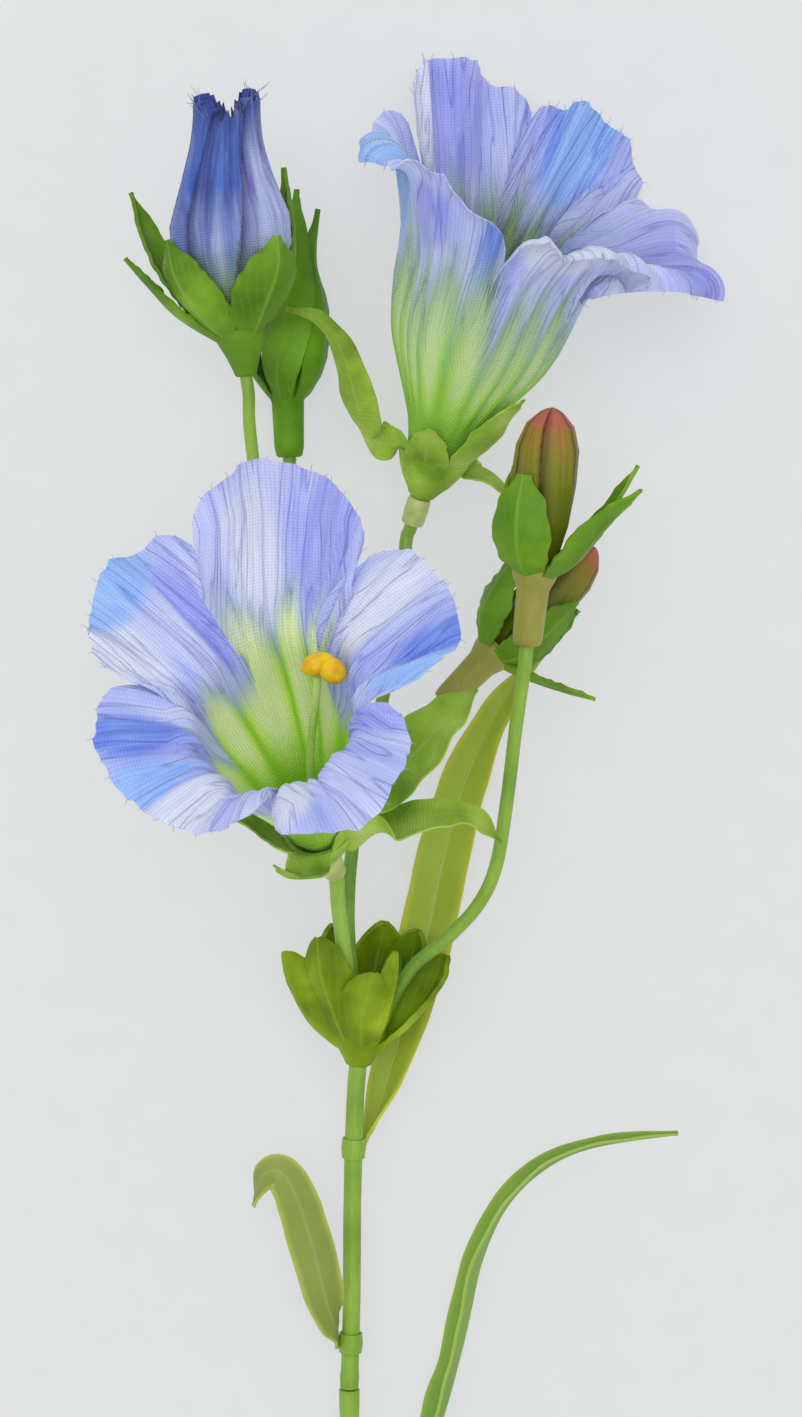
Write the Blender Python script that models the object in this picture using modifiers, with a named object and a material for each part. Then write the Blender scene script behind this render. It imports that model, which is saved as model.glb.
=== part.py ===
"""Gentian spray, a cut stem of two open trumpet blooms, four buds and three long leaves, lying on a table.

Lengths are in millimetres and turned into metres by MM. +Y runs up the stem, +Z points up off the table
and the table is z = 0. The origin is on the table, under the middle of the spray.
"""

import math

import bmesh
import bpy
from mathutils import Matrix, Vector

MM = 0.001
GAP = 0.3

# Stems: moulded plastic over wire.
LOWER_STEM_RADIUS = 2.05
MAIN_STEM_RADIUS = 1.8
BRANCH_RADIUS = 1.35
STEM_STEPS = 2
FRONT_BRANCH_RADIUS = 1.55

# One open bloom, measured along its own axis.
FERRULE_LENGTH = 5.9
CUP_FOOT = 6.2
SOCKET_DEPTH = 4.2
STEM_IN_SOCKET = 3.8
COROLLA_FOOT = 4.4
COROLLA_HOLE_RADIUS = 1.9
PETAL_LENGTH = 33.0
PETAL_BEND = 11.0
PETAL_CUPPING = 1.8
FOLD_DEPTH = 0.6
EDGE_WAVE = 2.2
FLOP_WIDTH = 0.38
CLOTH = 0.8
SEPAL_THICKNESS = 0.7
LEAF_THICKNESS = 0.8
SLEEVE_THICKNESS = 0.65
STYLE_RADIUS = 0.8
BUD_PETALS = 5
TUFT_FLARE = 0.12

for old in list(bpy.data.objects):
    bpy.data.objects.remove(old)

spray = bpy.data.collections.new("GentianSpray")
helpers = bpy.data.collections.new("Helpers")
bpy.context.scene.collection.children.link(spray)
bpy.context.scene.collection.children.link(helpers)


def material(name, colour, roughness):
    made = bpy.data.materials.new(name)
    made.use_nodes = True
    shader = made.node_tree.nodes["Principled BSDF"]
    shader.inputs["Base Color"].default_value = (*colour, 1.0)
    shader.inputs["Roughness"].default_value = roughness
    shader.inputs["Metallic"].default_value = 0.0
    return made


STEM_GREEN = material("StemGreen", (0.22, 0.38, 0.05), 0.5)
LEAF_GREEN = material("LeafGreen", (0.29, 0.38, 0.06), 0.55)
SEPAL_GREEN = material("SepalGreen", (0.22, 0.37, 0.05), 0.75)
PETAL_BLUE = material("PetalBlue", (0.36, 0.42, 0.85), 0.8)
BUD_BLUE = material("BudBlue", (0.12, 0.2, 0.6), 0.8)
BUD_RED = material("BudRed", (0.28, 0.2, 0.05), 0.5)
FERRULE_CREAM = material("FerruleCream", (0.5, 0.55, 0.2), 0.4)
STYLE_GREEN = material("StyleGreen", (0.45, 0.58, 0.15), 0.5)
STIGMA_YELLOW = material("StigmaYellow", (0.75, 0.45, 0.01), 0.4)


def keep(name, mesh_or_curve, finish, home=spray):
    """Links data as one named object of the spray, with its material."""
    made = bpy.data.objects.new(name, mesh_or_curve)
    home.objects.link(made)
    made.data.materials.append(finish)
    return made


def smooth_route(points, steps):
    """A Catmull-Rom line through hand-chosen points, in metres, with `steps` places to each stretch."""
    ends = [Vector(p) * MM for p in points]
    padded = [2 * ends[0] - ends[1], *ends, 2 * ends[-1] - ends[-2]]
    line = []
    for i in range(len(ends) - 1):
        a, b, c, d = padded[i : i + 4]
        for k in range(steps):
            t = k / steps
            square = (2 * a - 5 * b + 4 * c - d) * t**2
            cube = (3 * b - 3 * c + d - a) * t**3
            line.append(0.5 * (2 * b + (c - a) * t + square + cube))
    line.append(ends[-1])
    return line


def resample(line, count):
    """`count` + 1 points at equal spacing along a line."""
    reach = [0.0]
    for a, b in zip(line, line[1:]):
        reach.append(reach[-1] + (b - a).length)
    places = []
    k = 0
    for i in range(count + 1):
        want = reach[-1] * i / count
        while k < len(line) - 2 and reach[k + 1] < want:
            k += 1
        share = (want - reach[k]) / max(reach[k + 1] - reach[k], 1e-9)
        places.append(line[k].lerp(line[k + 1], min(max(share, 0.0), 1.0)))
    return places


def between(values, t):
    """A smooth value at t (0 to 1) of a row of values that are evenly spread."""
    place = min(max(t, 0.0), 1.0) * (len(values) - 1)
    k = min(int(place), len(values) - 2)
    f = place - k
    f = f * f * (3 - 2 * f)
    return values[k] + (values[k + 1] - values[k]) * f


def at(stops, place):
    """The value at a place along rows of (place, value), which are joined by straight lines."""
    for (a, low), (b, high) in zip(stops, stops[1:]):
        if place <= b:
            return low if b == a else low + (high - low) * max(place - a, 0.0) / (b - a)
    return stops[-1][1]


def tube(name, route, radius, finish, steps=STEM_STEPS, home=spray):
    """A stem: a poly curve with a round bevel and closed ends."""
    line = smooth_route(route, steps)
    curve = bpy.data.curves.new(name, "CURVE")
    curve.dimensions = "3D"
    curve.bevel_depth = radius * MM
    curve.bevel_resolution = 2
    curve.use_fill_caps = True
    spline = curve.splines.new("POLY")
    spline.points.add(len(line) - 1)
    for point, place in zip(spline.points, line):
        point.co = (*place, 1.0)
    return keep(name, curve, finish, home)


def as_mesh(obj):
    """Turns an object into a plain mesh of what the viewport shows, with its caps welded."""
    name = obj.name
    home = obj.users_collection[0]
    finish = obj.data.materials[0]
    bpy.context.view_layer.update()
    seen = obj.evaluated_get(bpy.context.evaluated_depsgraph_get())
    mesh = bpy.data.meshes.new_from_object(seen)
    mesh.transform(obj.matrix_world)
    bm = bmesh.new()
    bm.from_mesh(mesh)
    bmesh.ops.remove_doubles(bm, verts=bm.verts, dist=0.00001)
    bm.to_mesh(mesh)
    bm.free()
    bpy.data.objects.remove(obj)
    made = bpy.data.objects.new(name, mesh)
    home.objects.link(made)
    mesh.materials.clear()
    mesh.materials.append(finish)
    return made


def join(body, others):
    """Fuses the others into the body with one Boolean union on a collection, and removes them."""
    group = bpy.data.collections.new("Join")
    bpy.context.scene.collection.children.link(group)
    for other in others:
        for home in list(other.users_collection):
            home.objects.unlink(other)
        group.objects.link(other)
    union = body.modifiers.new("Join", "BOOLEAN")
    union.operation = "UNION"
    union.operand_type = "COLLECTION"
    union.collection = group
    union.solver = "EXACT"
    made = as_mesh(body)
    for other in others:
        bpy.data.objects.remove(other)
    bpy.data.collections.remove(group)
    return made


def cut(body, cutter):
    """Cuts the cutter out of the body, and removes the cutter."""
    difference = body.modifiers.new("Cut", "BOOLEAN")
    difference.operation = "DIFFERENCE"
    difference.object = cutter
    difference.solver = "EXACT"
    made = as_mesh(body)
    bpy.data.objects.remove(cutter)
    return made


def socket(body, route, radius, from_end=False):
    """Opens the hole that the foot (or the top) of a stem is pushed into, a little deeper than the stem."""
    line = smooth_route(route, STEM_STEPS)
    if from_end:
        line.reverse()
    line = line[:4]
    line.insert(0, line[0] + (line[0] - line[1]).normalized() * GAP * MM)
    places = [tuple(p / MM) for p in line]
    cutter = as_mesh(tube("socket_cutter", places, radius + GAP, STEM_GREEN, 1, helpers))
    cutter.hide_render = True
    cutter.display_type = "WIRE"
    return cut(body, cutter)


def frame_at(foot, axis, up):
    """The matrix of a head whose own +Z is its axis, and whose own +X leans to `up`."""
    z = Vector(axis).normalized()
    x = (Vector(up) - z * z.dot(Vector(up))).normalized()
    y = z.cross(x)
    turn = Matrix((x, y, z)).transposed().to_4x4()
    return Matrix.Translation(Vector(foot) * MM) @ turn


def turned(name, profile, finish, sides, matrix=None, home=spray):
    """A turned solid. Its profile is (radius, height) in mm and runs down the outer side, top to bottom."""
    mesh = bpy.data.meshes.new(name)
    points = [(r * MM, 0.0, z * MM) for r, z in profile]
    mesh.from_pydata(points, [(i, i + 1) for i in range(len(points) - 1)], [])
    made = keep(name, mesh, finish, home)
    screw = made.modifiers.new("Turn", "SCREW")
    screw.steps = screw.render_steps = sides
    screw.use_merge_vertices = True
    screw.merge_threshold = 0.00001
    if matrix is not None:
        made.matrix_world = matrix
    return made


def blade(name, route, widths, faces, finish, cupping, along, across, thick=SEPAL_THICKNESS, wave=0.0):
    """A leaf, sepal or bract, kept as a helper for a union: a grid laid along a route, cupped and thickened.

    `widths` are half widths from foot to tip and `faces` are directions that its inner face looks to.
    """
    line = resample(smooth_route(route, 6), along)
    bm = bmesh.new()
    bmesh.ops.create_grid(bm, x_segments=across, y_segments=along, size=1.0)
    for vert in bm.verts:
        s = vert.co.x
        row = round((vert.co.y + 1) / 2 * along)
        t = row / along
        ahead = (line[min(row + 1, along)] - line[max(row - 1, 0)]).normalized()
        face = between([Vector(f) for f in faces], t)
        face = (face - ahead * ahead.dot(face)).normalized()
        side = ahead.cross(face)
        half = between(widths, t) * MM
        lift = half * cupping * s * s + half * wave * s * s * math.sin(3 * math.pi * t + s)
        vert.co = line[row] + side * half * s + face * lift
    bmesh.ops.triangulate(bm, faces=bm.faces)
    mesh = bpy.data.meshes.new(name)
    bm.to_mesh(mesh)
    bm.free()
    made = keep(name, mesh, finish, helpers)
    solidify = made.modifiers.new("Thickness", "SOLIDIFY")
    solidify.thickness = thick * MM
    solidify.offset = 0.0
    return made


def inward(matrix, turn, lift=0.15):
    """The direction from the angle `turn` on a head to its axis, which a bract's inner face looks to."""
    angle = math.radians(turn)
    return matrix.to_3x3() @ Vector((-math.cos(angle), -math.sin(angle), lift))


def ringed(matrix, turn, places, bend=0.0):
    """The route of a bract on its head: (radius, height) places at the angle `turn`, shifted by `bend`."""
    route = []
    for i, (radius, height) in enumerate(places):
        angle = math.radians(turn + bend * i / (len(places) - 1))
        place = Vector((radius * math.cos(angle), radius * math.sin(angle), height))
        route.append(matrix @ (place * MM) / MM)
    return route


def along_axis(foot, axis, distances):
    """Points on a head's axis, in mm, for the last stretch of its stem."""
    unit = Vector(axis).normalized()
    return [tuple(Vector(foot) + unit * d) for d in distances]


def corolla(name, matrix, notches, petals, spread, throat_at_top, low_side):
    """Five petals fused in one pleated trumpet: a grid wrapped round the axis, each column bent outward.

    `notches` are (angle, reach) between petals. `petals` are (reach, lean, curl, bluntness, skew, flop place,
    flop curl): the outward angle of the petal and of its tip, how far its tip lies to one side, and where it
    flops over. A reach runs from the throat, in mm, and angles are in degrees. `low_side` is how much nearer
    the throat lies at the half turn.
    """
    per_petal = 9
    columns = per_petal * len(notches)
    tube_stops = [0, 3.2, 9, 18, 29]
    petal_rows = 6
    rows = len(tube_stops) + petal_rows
    neck = 9.0

    def petal_at(column):
        k = (column // per_petal) % 5
        part = (column % per_petal) / per_petal
        start, start_reach = notches[k]
        end, end_reach = notches[(k + 1) % 5]
        end += 360 if k == 4 else 0
        angle = start + (end - start) * part
        here = k + part - 0.5
        low = math.floor(here)
        mix = here - low
        mix = mix * mix * (3 - 2 * mix)
        lean = petals[low % 5][1] * (1 - mix) + petals[(low + 1) % 5][1] * mix
        curl = petals[low % 5][2] * (1 - mix) + petals[(low + 1) % 5][2] * mix
        phi = 2 * part - 1
        base = start_reach + (end_reach - start_reach) * part
        rise = petals[k][0] - (start_reach + end_reach) / 2
        blunt, skew, flop_at, flop_curl = petals[k][3:]
        outline = max(1 - abs((phi - skew) / (1 - skew * phi)) ** blunt, 0.0) ** 0.55
        curl += flop_curl * math.exp(-(((phi - flop_at) / FLOP_WIDTH) ** 2))
        return math.radians(angle), phi, base + rise * outline, lean, curl, k

    foot = [(0, 40), (3.2, 40), (3.2, 26), (7.4, 26), (7.4, 14), (8, 14)]
    wall = foot + [(16, spread), (28, spread), (38, neck)]

    def slope(s, throat, reach, lean, curl):
        if s < throat:
            return at(wall, s)
        out = min((s - throat) / PETAL_BEND, 1.0)
        tip = min(max((s - throat) / reach - 0.5, 0.0) / 0.5, 1.0)
        return neck + (lean - neck) * out * out * (3 - 2 * out) + (curl - lean) * tip * tip

    bm = bmesh.new()
    bmesh.ops.create_grid(bm, x_segments=columns, y_segments=rows, size=1.0)
    by_column = {}
    for vert in bm.verts:
        column = round((vert.co.x + 1) / 2 * columns)
        row = round((vert.co.y + 1) / 2 * rows)
        by_column.setdefault(column, {})[row] = vert
    for column, verts in by_column.items():
        angle, phi, reach, lean, curl, k = petal_at(column)
        throat = throat_at_top - low_side * (0.5 - 0.5 * math.cos(angle))
        stops = tube_stops + [throat + reach * i / petal_rows for i in range(petal_rows + 1)]
        radius, height, s = COROLLA_HOLE_RADIUS, COROLLA_FOOT, 0.0
        for row, stop in enumerate(stops):
            while s < stop - 1e-6:
                step = min(0.25, stop - s)
                tilt = math.radians(slope(s + step / 2, throat, reach, lean, curl))
                radius += step * math.sin(tilt)
                height += step * math.cos(tilt)
                s += step
            tilt = math.radians(slope(s, throat, reach, lean, curl))
            folded = at([(12, 0.0), (42, 1.0)], s)
            free = max(s - throat, 0.0) / PETAL_LENGTH
            push = FOLD_DEPTH * folded * math.cos(2 * math.pi * (phi + 1))
            push += free * (1.5 * math.sin(4.5 * phi + 1.7 * k) - PETAL_CUPPING * (1 - abs(phi)))
            push += free**2 * EDGE_WAVE * math.sin(9.0 * phi + 2.3 * k)
            r = radius - push * math.cos(tilt)
            z = height + push * math.sin(tilt)
            verts[row].co = Vector((r * math.cos(angle), r * math.sin(angle), z)) * MM
    bmesh.ops.remove_doubles(bm, verts=bm.verts, dist=0.00001)
    bmesh.ops.triangulate(bm, faces=bm.faces)
    bmesh.ops.transform(bm, matrix=matrix, verts=bm.verts)
    mesh = bpy.data.meshes.new(name)
    bm.to_mesh(mesh)
    bm.free()
    made = keep(name, mesh, PETAL_BLUE)
    solidify = made.modifiers.new("Cloth", "SOLIDIFY")
    solidify.thickness = CLOTH * MM
    solidify.offset = 0.0
    return made


def open_bloom(prefix, foot, axis, up, stem_radius, trumpet, sepals, style_route, stigma_place):
    """One open bloom: ferrule, cloth cup with five sepals, trumpet, style and two-lobed stigma."""
    matrix = frame_at(foot, axis, up)
    hole = stem_radius + GAP
    outside = [(0, FERRULE_LENGTH), (2.0, FERRULE_LENGTH), (2.35, 5.5), (2.45, 3.0), (2.3, 0.4), (2.1, 0)]
    bore = [(hole, 0), (hole, SOCKET_DEPTH), (0, SOCKET_DEPTH)]
    turned(prefix + "_ferrule", [*outside, *bore], FERRULE_CREAM, 16, matrix)

    cup_matrix = frame_at(along_axis(foot, axis, [CUP_FOOT])[0], axis, up)
    bowl = [(0, 2.6), (2.6, 3.1), (4.4, 5.4), (5.9, 9.0)]
    back = [(7.5, 9.2), (6.4, 6.2), (5.0, 3.6), (3.4, 1.5), (2.5, 0), (0, 0)]
    cup = turned(prefix + "_calyx", [*bowl, *back], SEPAL_GREEN, 16, cup_matrix)
    leaves = []
    for i, (turn, places, route, widths, faces) in enumerate(sepals):
        root = ringed(cup_matrix, turn, [(2.6, 2.2), (4.4, 4.4), (5.9, 6.6), (7.2, 9.6), *places])
        looks = [inward(cup_matrix, turn)] * 2 + list(faces)
        name = "%s_sepal_%d" % (prefix, i)
        leaves.append(blade(name, [*root, *route], widths, looks, SEPAL_GREEN, 0.22, 7, 2, wave=0.1))
    join(cup, leaves)

    corolla(prefix + "_corolla", cup_matrix, *trumpet)
    in_head = [cup_matrix @ (Vector(p) * MM) / MM for p in style_route]
    tube(prefix + "_style", in_head, STYLE_RADIUS, STYLE_GREEN)
    top = cup_matrix @ (Vector(stigma_place) * MM)
    stigma = lobe(prefix + "_stigma", top, (3.4, 2.2, 2.2))
    join(stigma, [lobe(prefix + "_stigma_lobe", top + Vector((2.6, -1.2, 0.8)) * MM, (2.9, 2.4, 2.4))])


def lobe(name, centre, radii):
    """One rounded lobe of a stigma."""
    bm = bmesh.new()
    bmesh.ops.create_uvsphere(bm, u_segments=10, v_segments=6, radius=MM)
    bmesh.ops.scale(bm, vec=radii, verts=bm.verts)
    bmesh.ops.translate(bm, vec=centre, verts=bm.verts)
    mesh = bpy.data.meshes.new(name)
    bm.to_mesh(mesh)
    bm.free()
    return keep(name, mesh, STIGMA_YELLOW)


def bud_body(name, foot, axis, radii, depth, twist, finish, columns, rows, crown=0.0, dip=0.0):
    """A closed bud: a globe drawn out along its axis, with petals that lap over one another in a spiral.

    `radii` is a row of (height, radius) from foot to top, `depth` the share by which each petal's edge
    stands up and `twist` the turns of the spiral. `crown` is the height of the petals' tips and `dip` the
    depth of the hollow inside them.
    """
    matrix = frame_at(foot, axis, (0, 0, 1))
    bm = bmesh.new()
    bmesh.ops.create_uvsphere(bm, u_segments=columns, v_segments=rows, radius=1.0)
    foot_height, top_height = radii[0][0], radii[-1][0]
    for vert in bm.verts:
        x, y, z = vert.co
        t = 1 - math.acos(max(min(z, 1.0), -1.0)) / math.pi
        height = foot_height + (top_height - foot_height) * t
        radius = at(radii, height)
        angle = math.atan2(y, x)
        part = (BUD_PETALS * angle / (2 * math.pi) + twist * t) % 1.0
        edge = part / 0.85 if part < 0.85 else (1 - part) / 0.15
        radius *= 1 - depth * (1 - edge) * min(4 * t, 1.0)
        tuft = t**9 * (0.5 - 0.5 * math.cos(2 * angle)) * min(radius / 5.0, 1.0)
        height += crown * tuft
        radius += crown * TUFT_FLARE * tuft
        if abs(z) > 0.9999:
            radius = 0.0
            height -= dip if z > 0 else 0.0
        vert.co = Vector((radius * math.cos(angle), radius * math.sin(angle), height)) * MM
    bmesh.ops.transform(bm, matrix=matrix, verts=bm.verts)
    mesh = bpy.data.meshes.new(name)
    bm.to_mesh(mesh)
    bm.free()
    return keep(name, mesh, finish)


def bud_calyx(name, foot, axis, up, hole, profile, bracts, finish):
    """A moulded bud foot: a neck with the hole for its stem, fused with the bracts that spread from it.

    `bracts` are (turn, places, bend, half widths) in the bud's own frame.
    """
    matrix = frame_at(foot, axis, up)
    bore = [(hole, 0), (hole, SOCKET_DEPTH), (0, SOCKET_DEPTH)]
    neck = turned(name, [*profile, *bore], finish, 16, matrix)
    leaves = []
    for i, (turn, places, bend, widths) in enumerate(bracts):
        looks = [inward(matrix, turn), inward(matrix, turn, 0.6)]
        route = ringed(matrix, turn, places, bend)
        leaves.append(blade("%s_bract_%d" % (name, i), route, widths, looks, finish, 0.3, 5, 3))
    return join(neck, leaves)


# Stems, from the cut end up to the heads. The plain cut end lies flat on the table.
LOWER_ROUTE = [
    (-12.2, -176.5, 1.75), (-12.2, -160, 1.8), (-12.2, -138.3, 3.4), (-12.4, -117.4, 6), (-12.5, -94.3, 9.5),
]
MAIN_ROUTE = [
    (-12.5, -93.95, 9.6), (-12.0, -75.8, 12.6), (-11.8, -55.2, 15.8), (-11.2, -34.8, 19.2),
    (-10.4, -25.2, 20.9),
]
HUB_FOOT = (-10.6, -27.6, 20.4)
HUB_AXIS = (0.07, 0.98, 0.17)
FRONT_FOOT = (-15.1, 11.4, 32.5)
FRONT_AXIS = (-0.215, 0.60, 0.77)
UPPER_FOOT = (0.2, 81.5, 10.5)
UPPER_AXIS = (0.291, 0.893, 0.342)
BLUE_FOOT = (-32.7, 109.9, 33.5)
BLUE_AXIS = (-0.127, 0.988, 0.083)
GREEN_FOOT = (-24.7, 95.2, 7.4)
GREEN_AXIS = (-0.03, 0.999, 0.01)
RIGHT_FOOT = (22.7, 56.5, 43.0)
RIGHT_AXIS = (0.104, 0.983, 0.149)
BACK_FOOT = (6.5, 45.2, 17.0)
BACK_AXIS = (0.70, 0.71, -0.03)
FORK_FOOT = (-11.2, 22.5, 19.2)
FORK_AXIS = (0.05, 0.99, 0.02)

FRONT_ROUTE = [
    (-11.7, -21.5, 24.2), (-12.4, -11.4, 26), (-13.6, -2.2, 28), (-14.5, 5.2, 29.6),
    *along_axis(FRONT_FOOT, FRONT_AXIS, [-1.0, STEM_IN_SOCKET]),
]
UPPER_ROUTE = [
    (-10.3, -21.5, 19.2), (-11.6, -11.6, 18.4), (-12.6, -0.6, 18.6), (-12.4, 9.5, 18.8),
    *along_axis(FORK_FOOT, FORK_AXIS, [-1.5, 3.0]),
]
RIGHT_BUD_ROUTE = [
    (-6.7, -21.5, 22), (-3.2, -13.4, 24), (0.8, -7.2, 26), (6.8, -2.2, 28), (13.3, 4.9, 30), (16.9, 12.9, 32),
    (19.0, 25.9, 35), (20.6, 40.0, 39.6),
    *along_axis(RIGHT_FOOT, RIGHT_AXIS, [-5, -1, STEM_IN_SOCKET]),
]
LEFT_BUD_ROUTE = [
    (-14.0, 27.5, 20.4), (-15.2, 32.5, 21), (-18.5, 46.5, 22), (-25.2, 67.7, 25), (-30.2, 86.5, 29),
    (-32.0, 99.3, 32), *along_axis(BLUE_FOOT, BLUE_AXIS, [-4, -1, STEM_IN_SOCKET]),
]
GREEN_BUD_ROUTE = [
    (-12.3, 27.5, 17.0), (-13.2, 34, 16.2), (-16.0, 57.8, 13), (-20.4, 78.0, 9),
    *along_axis(GREEN_FOOT, GREEN_AXIS, [-4, -1, STEM_IN_SOCKET]),
]
UPPER_BLOOM_ROUTE = [
    (-9.2, 27.5, 18.2), (-8.1, 33, 17.8), (-5.0, 49.8, 14.5), (-2.0, 66.0, 11),
    *along_axis(UPPER_FOOT, UPPER_AXIS, [-4, -1, STEM_IN_SOCKET]),
]
BACK_BUD_ROUTE = [
    (-7.9, 27.5, 21.6), (-5.2, 32.5, 21.6), (0.5, 39.2, 19.3),
    *along_axis(BACK_FOOT, BACK_AXIS, [-3, -0.5, STEM_IN_SOCKET]),
]

tube("lower_stem", LOWER_ROUTE, LOWER_STEM_RADIUS, STEM_GREEN)
tube("main_stem", MAIN_ROUTE, MAIN_STEM_RADIUS, STEM_GREEN)
tube("front_stem", FRONT_ROUTE, FRONT_BRANCH_RADIUS, STEM_GREEN)
tube("upper_stem", UPPER_ROUTE, BRANCH_RADIUS, STEM_GREEN)
tube("right_bud_stem", RIGHT_BUD_ROUTE, BRANCH_RADIUS, STEM_GREEN)
tube("left_bud_stem", LEFT_BUD_ROUTE, BRANCH_RADIUS - 0.1, STEM_GREEN)
tube("green_bud_stem", GREEN_BUD_ROUTE, BRANCH_RADIUS, STEM_GREEN)
tube("upper_bloom_stem", UPPER_BLOOM_ROUTE, BRANCH_RADIUS, STEM_GREEN)
tube("back_bud_stem", BACK_BUD_ROUTE, BRANCH_RADIUS, STEM_GREEN)

# Branch cup: a moulded hub with sockets for the stem and three branches, ringed with spoon-shaped bracts.
HUB_PROFILE = [(0, 8.0), (4.4, 8.0), (5.6, 7.2), (5.2, 5.2), (4.0, 2.8), (3.0, 1.2), (2.5, 0), (0, 0)]
CUP_BRACTS = [
    (
        [(-11.6, -25.0, 20.6), (-15.4, -22.4, 22), (-20.0, -17.6, 23.5), (-23.2, -11, 25), (-25.4, -4.8, 24)],
        (2.6, 4.8, 5.8, 5.6, 4.6, 0.8), [(1, 0.3, -0.5), (1, 0.2, -0.7)],
    ),
    (
        [(-11.4, -25.0, 22), (-13.2, -21.4, 25.2), (-15.2, -16.1, 28.5), (-17.5, -9, 31), (-18.5, -1.6, 31)],
        (2.6, 4.1, 5.0, 4.8, 4.0, 0.8), [(0.5, 0.3, -0.9), (0.4, 0.2, -0.9)],
    ),
    (
        [(-10.2, -25.0, 19.4), (-9.4, -21.6, 16.6), (-8.3, -15.5, 14), (-6.9, -7.0, 11.5), (-5.2, 0.8, 13)],
        (2.6, 4.2, 5.2, 5.2, 4.4, 0.8), [(0, 0.3, 1), (0.2, 0.2, 1)],
    ),
    (
        [(-9.2, -25.0, 20), (-6.2, -21.6, 17.6), (-3.8, -16.5, 15.6), (-0.6, -8.9, 13.5), (1.6, -0.8, 14.5)],
        (2.6, 3.6, 4.6, 4.6, 3.8, 0.8), [(-0.6, 0.3, 1), (-0.5, 0.2, 1)],
    ),
    (
        [(-10.2, -25.0, 22.4), (-9.9, -21.8, 27.0), (-9.9, -18.0, 30), (-8.9, -13.4, 33.2), (-7.4, -8.4, 34)],
        (2.6, 3.8, 4.6, 4.4, 3.6, 0.8), [(0, 0.3, -1), (0, 0.3, -1)],
    ),
    (
        [(-9.2, -25.0, 21.8), (-6.6, -21.0, 26), (-5.0, -16.1, 28.6), (-3.6, -10.0, 30.5), (-3.0, -4.6, 30)],
        (2.6, 3.0, 3.4, 3.2, 2.6, 0.6), [(-0.8, 0.3, -0.7), (-0.9, 0.3, -0.5)],
    ),
    (
        [(-9.0, -25.0, 20.8), (-5.2, -22.0, 21.6), (-1.2, -18.6, 22.4), (3.6, -12.4, 22), (7.2, -5.6, 21)],
        (2.6, 3.6, 4.8, 4.8, 4.2, 0.8), [(-0.8, 0.4, 0.5), (-0.6, 0.5, 0.7)],
    ),
    (
        [(-11.2, -25.0, 20), (-13.2, -21.4, 17), (-14.6, -16, 14.6), (-16.0, -7.0, 12.6), (-15.8, 0.4, 14)],
        (2.6, 3.5, 4.2, 4.0, 3.2, 0.8), [(0.6, 0.3, 1), (0.4, 0.3, 1)],
    ),
]
hub = turned("branch_cup", HUB_PROFILE, STEM_GREEN, 16, frame_at(HUB_FOOT, HUB_AXIS, (0, 0, 1)))
hub_bracts = []
for i, (route, widths, faces) in enumerate(CUP_BRACTS):
    hub_bracts.append(blade("cup_bract_%d" % i, route, widths, faces, STEM_GREEN, 0.5, 4, 3))
hub = join(hub, hub_bracts)
hub = socket(hub, MAIN_ROUTE, MAIN_STEM_RADIUS, True)
hub = socket(hub, FRONT_ROUTE, FRONT_BRANCH_RADIUS)
hub = socket(hub, UPPER_ROUTE, BRANCH_RADIUS)
hub = socket(hub, RIGHT_BUD_ROUTE, BRANCH_RADIUS)

# Upper fork: the same moulding without bracts.
FORK_PROFILE = [(0, 8.0), (4.8, 8.0), (5.6, 7.2), (5.4, 5.6), (3.8, 3.0), (2.6, 1.2), (2.2, 0), (0, 0)]
fork = turned("upper_fork", FORK_PROFILE, STEM_GREEN, 14, frame_at(FORK_FOOT, FORK_AXIS, (0, 0, 1)))
fork = socket(fork, UPPER_ROUTE, BRANCH_RADIUS, True)
fork = socket(fork, LEFT_BUD_ROUTE, BRANCH_RADIUS - 0.1)
fork = socket(fork, GREEN_BUD_ROUTE, BRANCH_RADIUS)
fork = socket(fork, UPPER_BLOOM_ROUTE, BRANCH_RADIUS)
fork = socket(fork, BACK_BUD_ROUTE, BRANCH_RADIUS)

# Open blooms.
FRONT_SEPALS = [
    (
        -112, [], [(-4.5, 20.2, 43.6), (2.7, 22.6, 45.2), (11.5, 22.9, 44.5), (17.7, 17.6, 42)],
        (1.4, 3.0, 5.0, 4.8, 4.2, 2.6, 0.3), [(-0.2, 0.7, 0.7), (-0.2, 0.7, 0.7), (-0.1, 0.7, 0.7)],
    ),
    (
        -60, [], [(-5.6, 27.6, 44.5), (1.2, 35.5, 49), (7.5, 42.9, 51.5), (12.8, 47.8, 51)],
        (1.4, 2.8, 5.0, 6.2, 6.6, 4.4, 0.5), [(-0.6, 0.3, 0.8), (-0.5, 0.3, 0.9), (-0.3, 0.2, 1)],
    ),
    (126, [(9.6, 14), (12.6, 21), (16.2, 28)], [], (1.4, 3.0, 4.8, 4.6, 3.0, 0.6), []),
    (
        178, [], [(-20.6, 11.6, 53), (-23.8, 11.4, 59), (-26.0, 13.6, 63)],
        (1.4, 3.0, 4.4, 4.0, 2.8, 0.9), [(0.2, 1, -0.2), (0.4, 1, 0.2)],
    ),
    (32, [(9.4, 14), (12.2, 21), (14.8, 28)], [], (1.4, 3.0, 4.8, 4.6, 3.0, 0.6), []),
]
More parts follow.
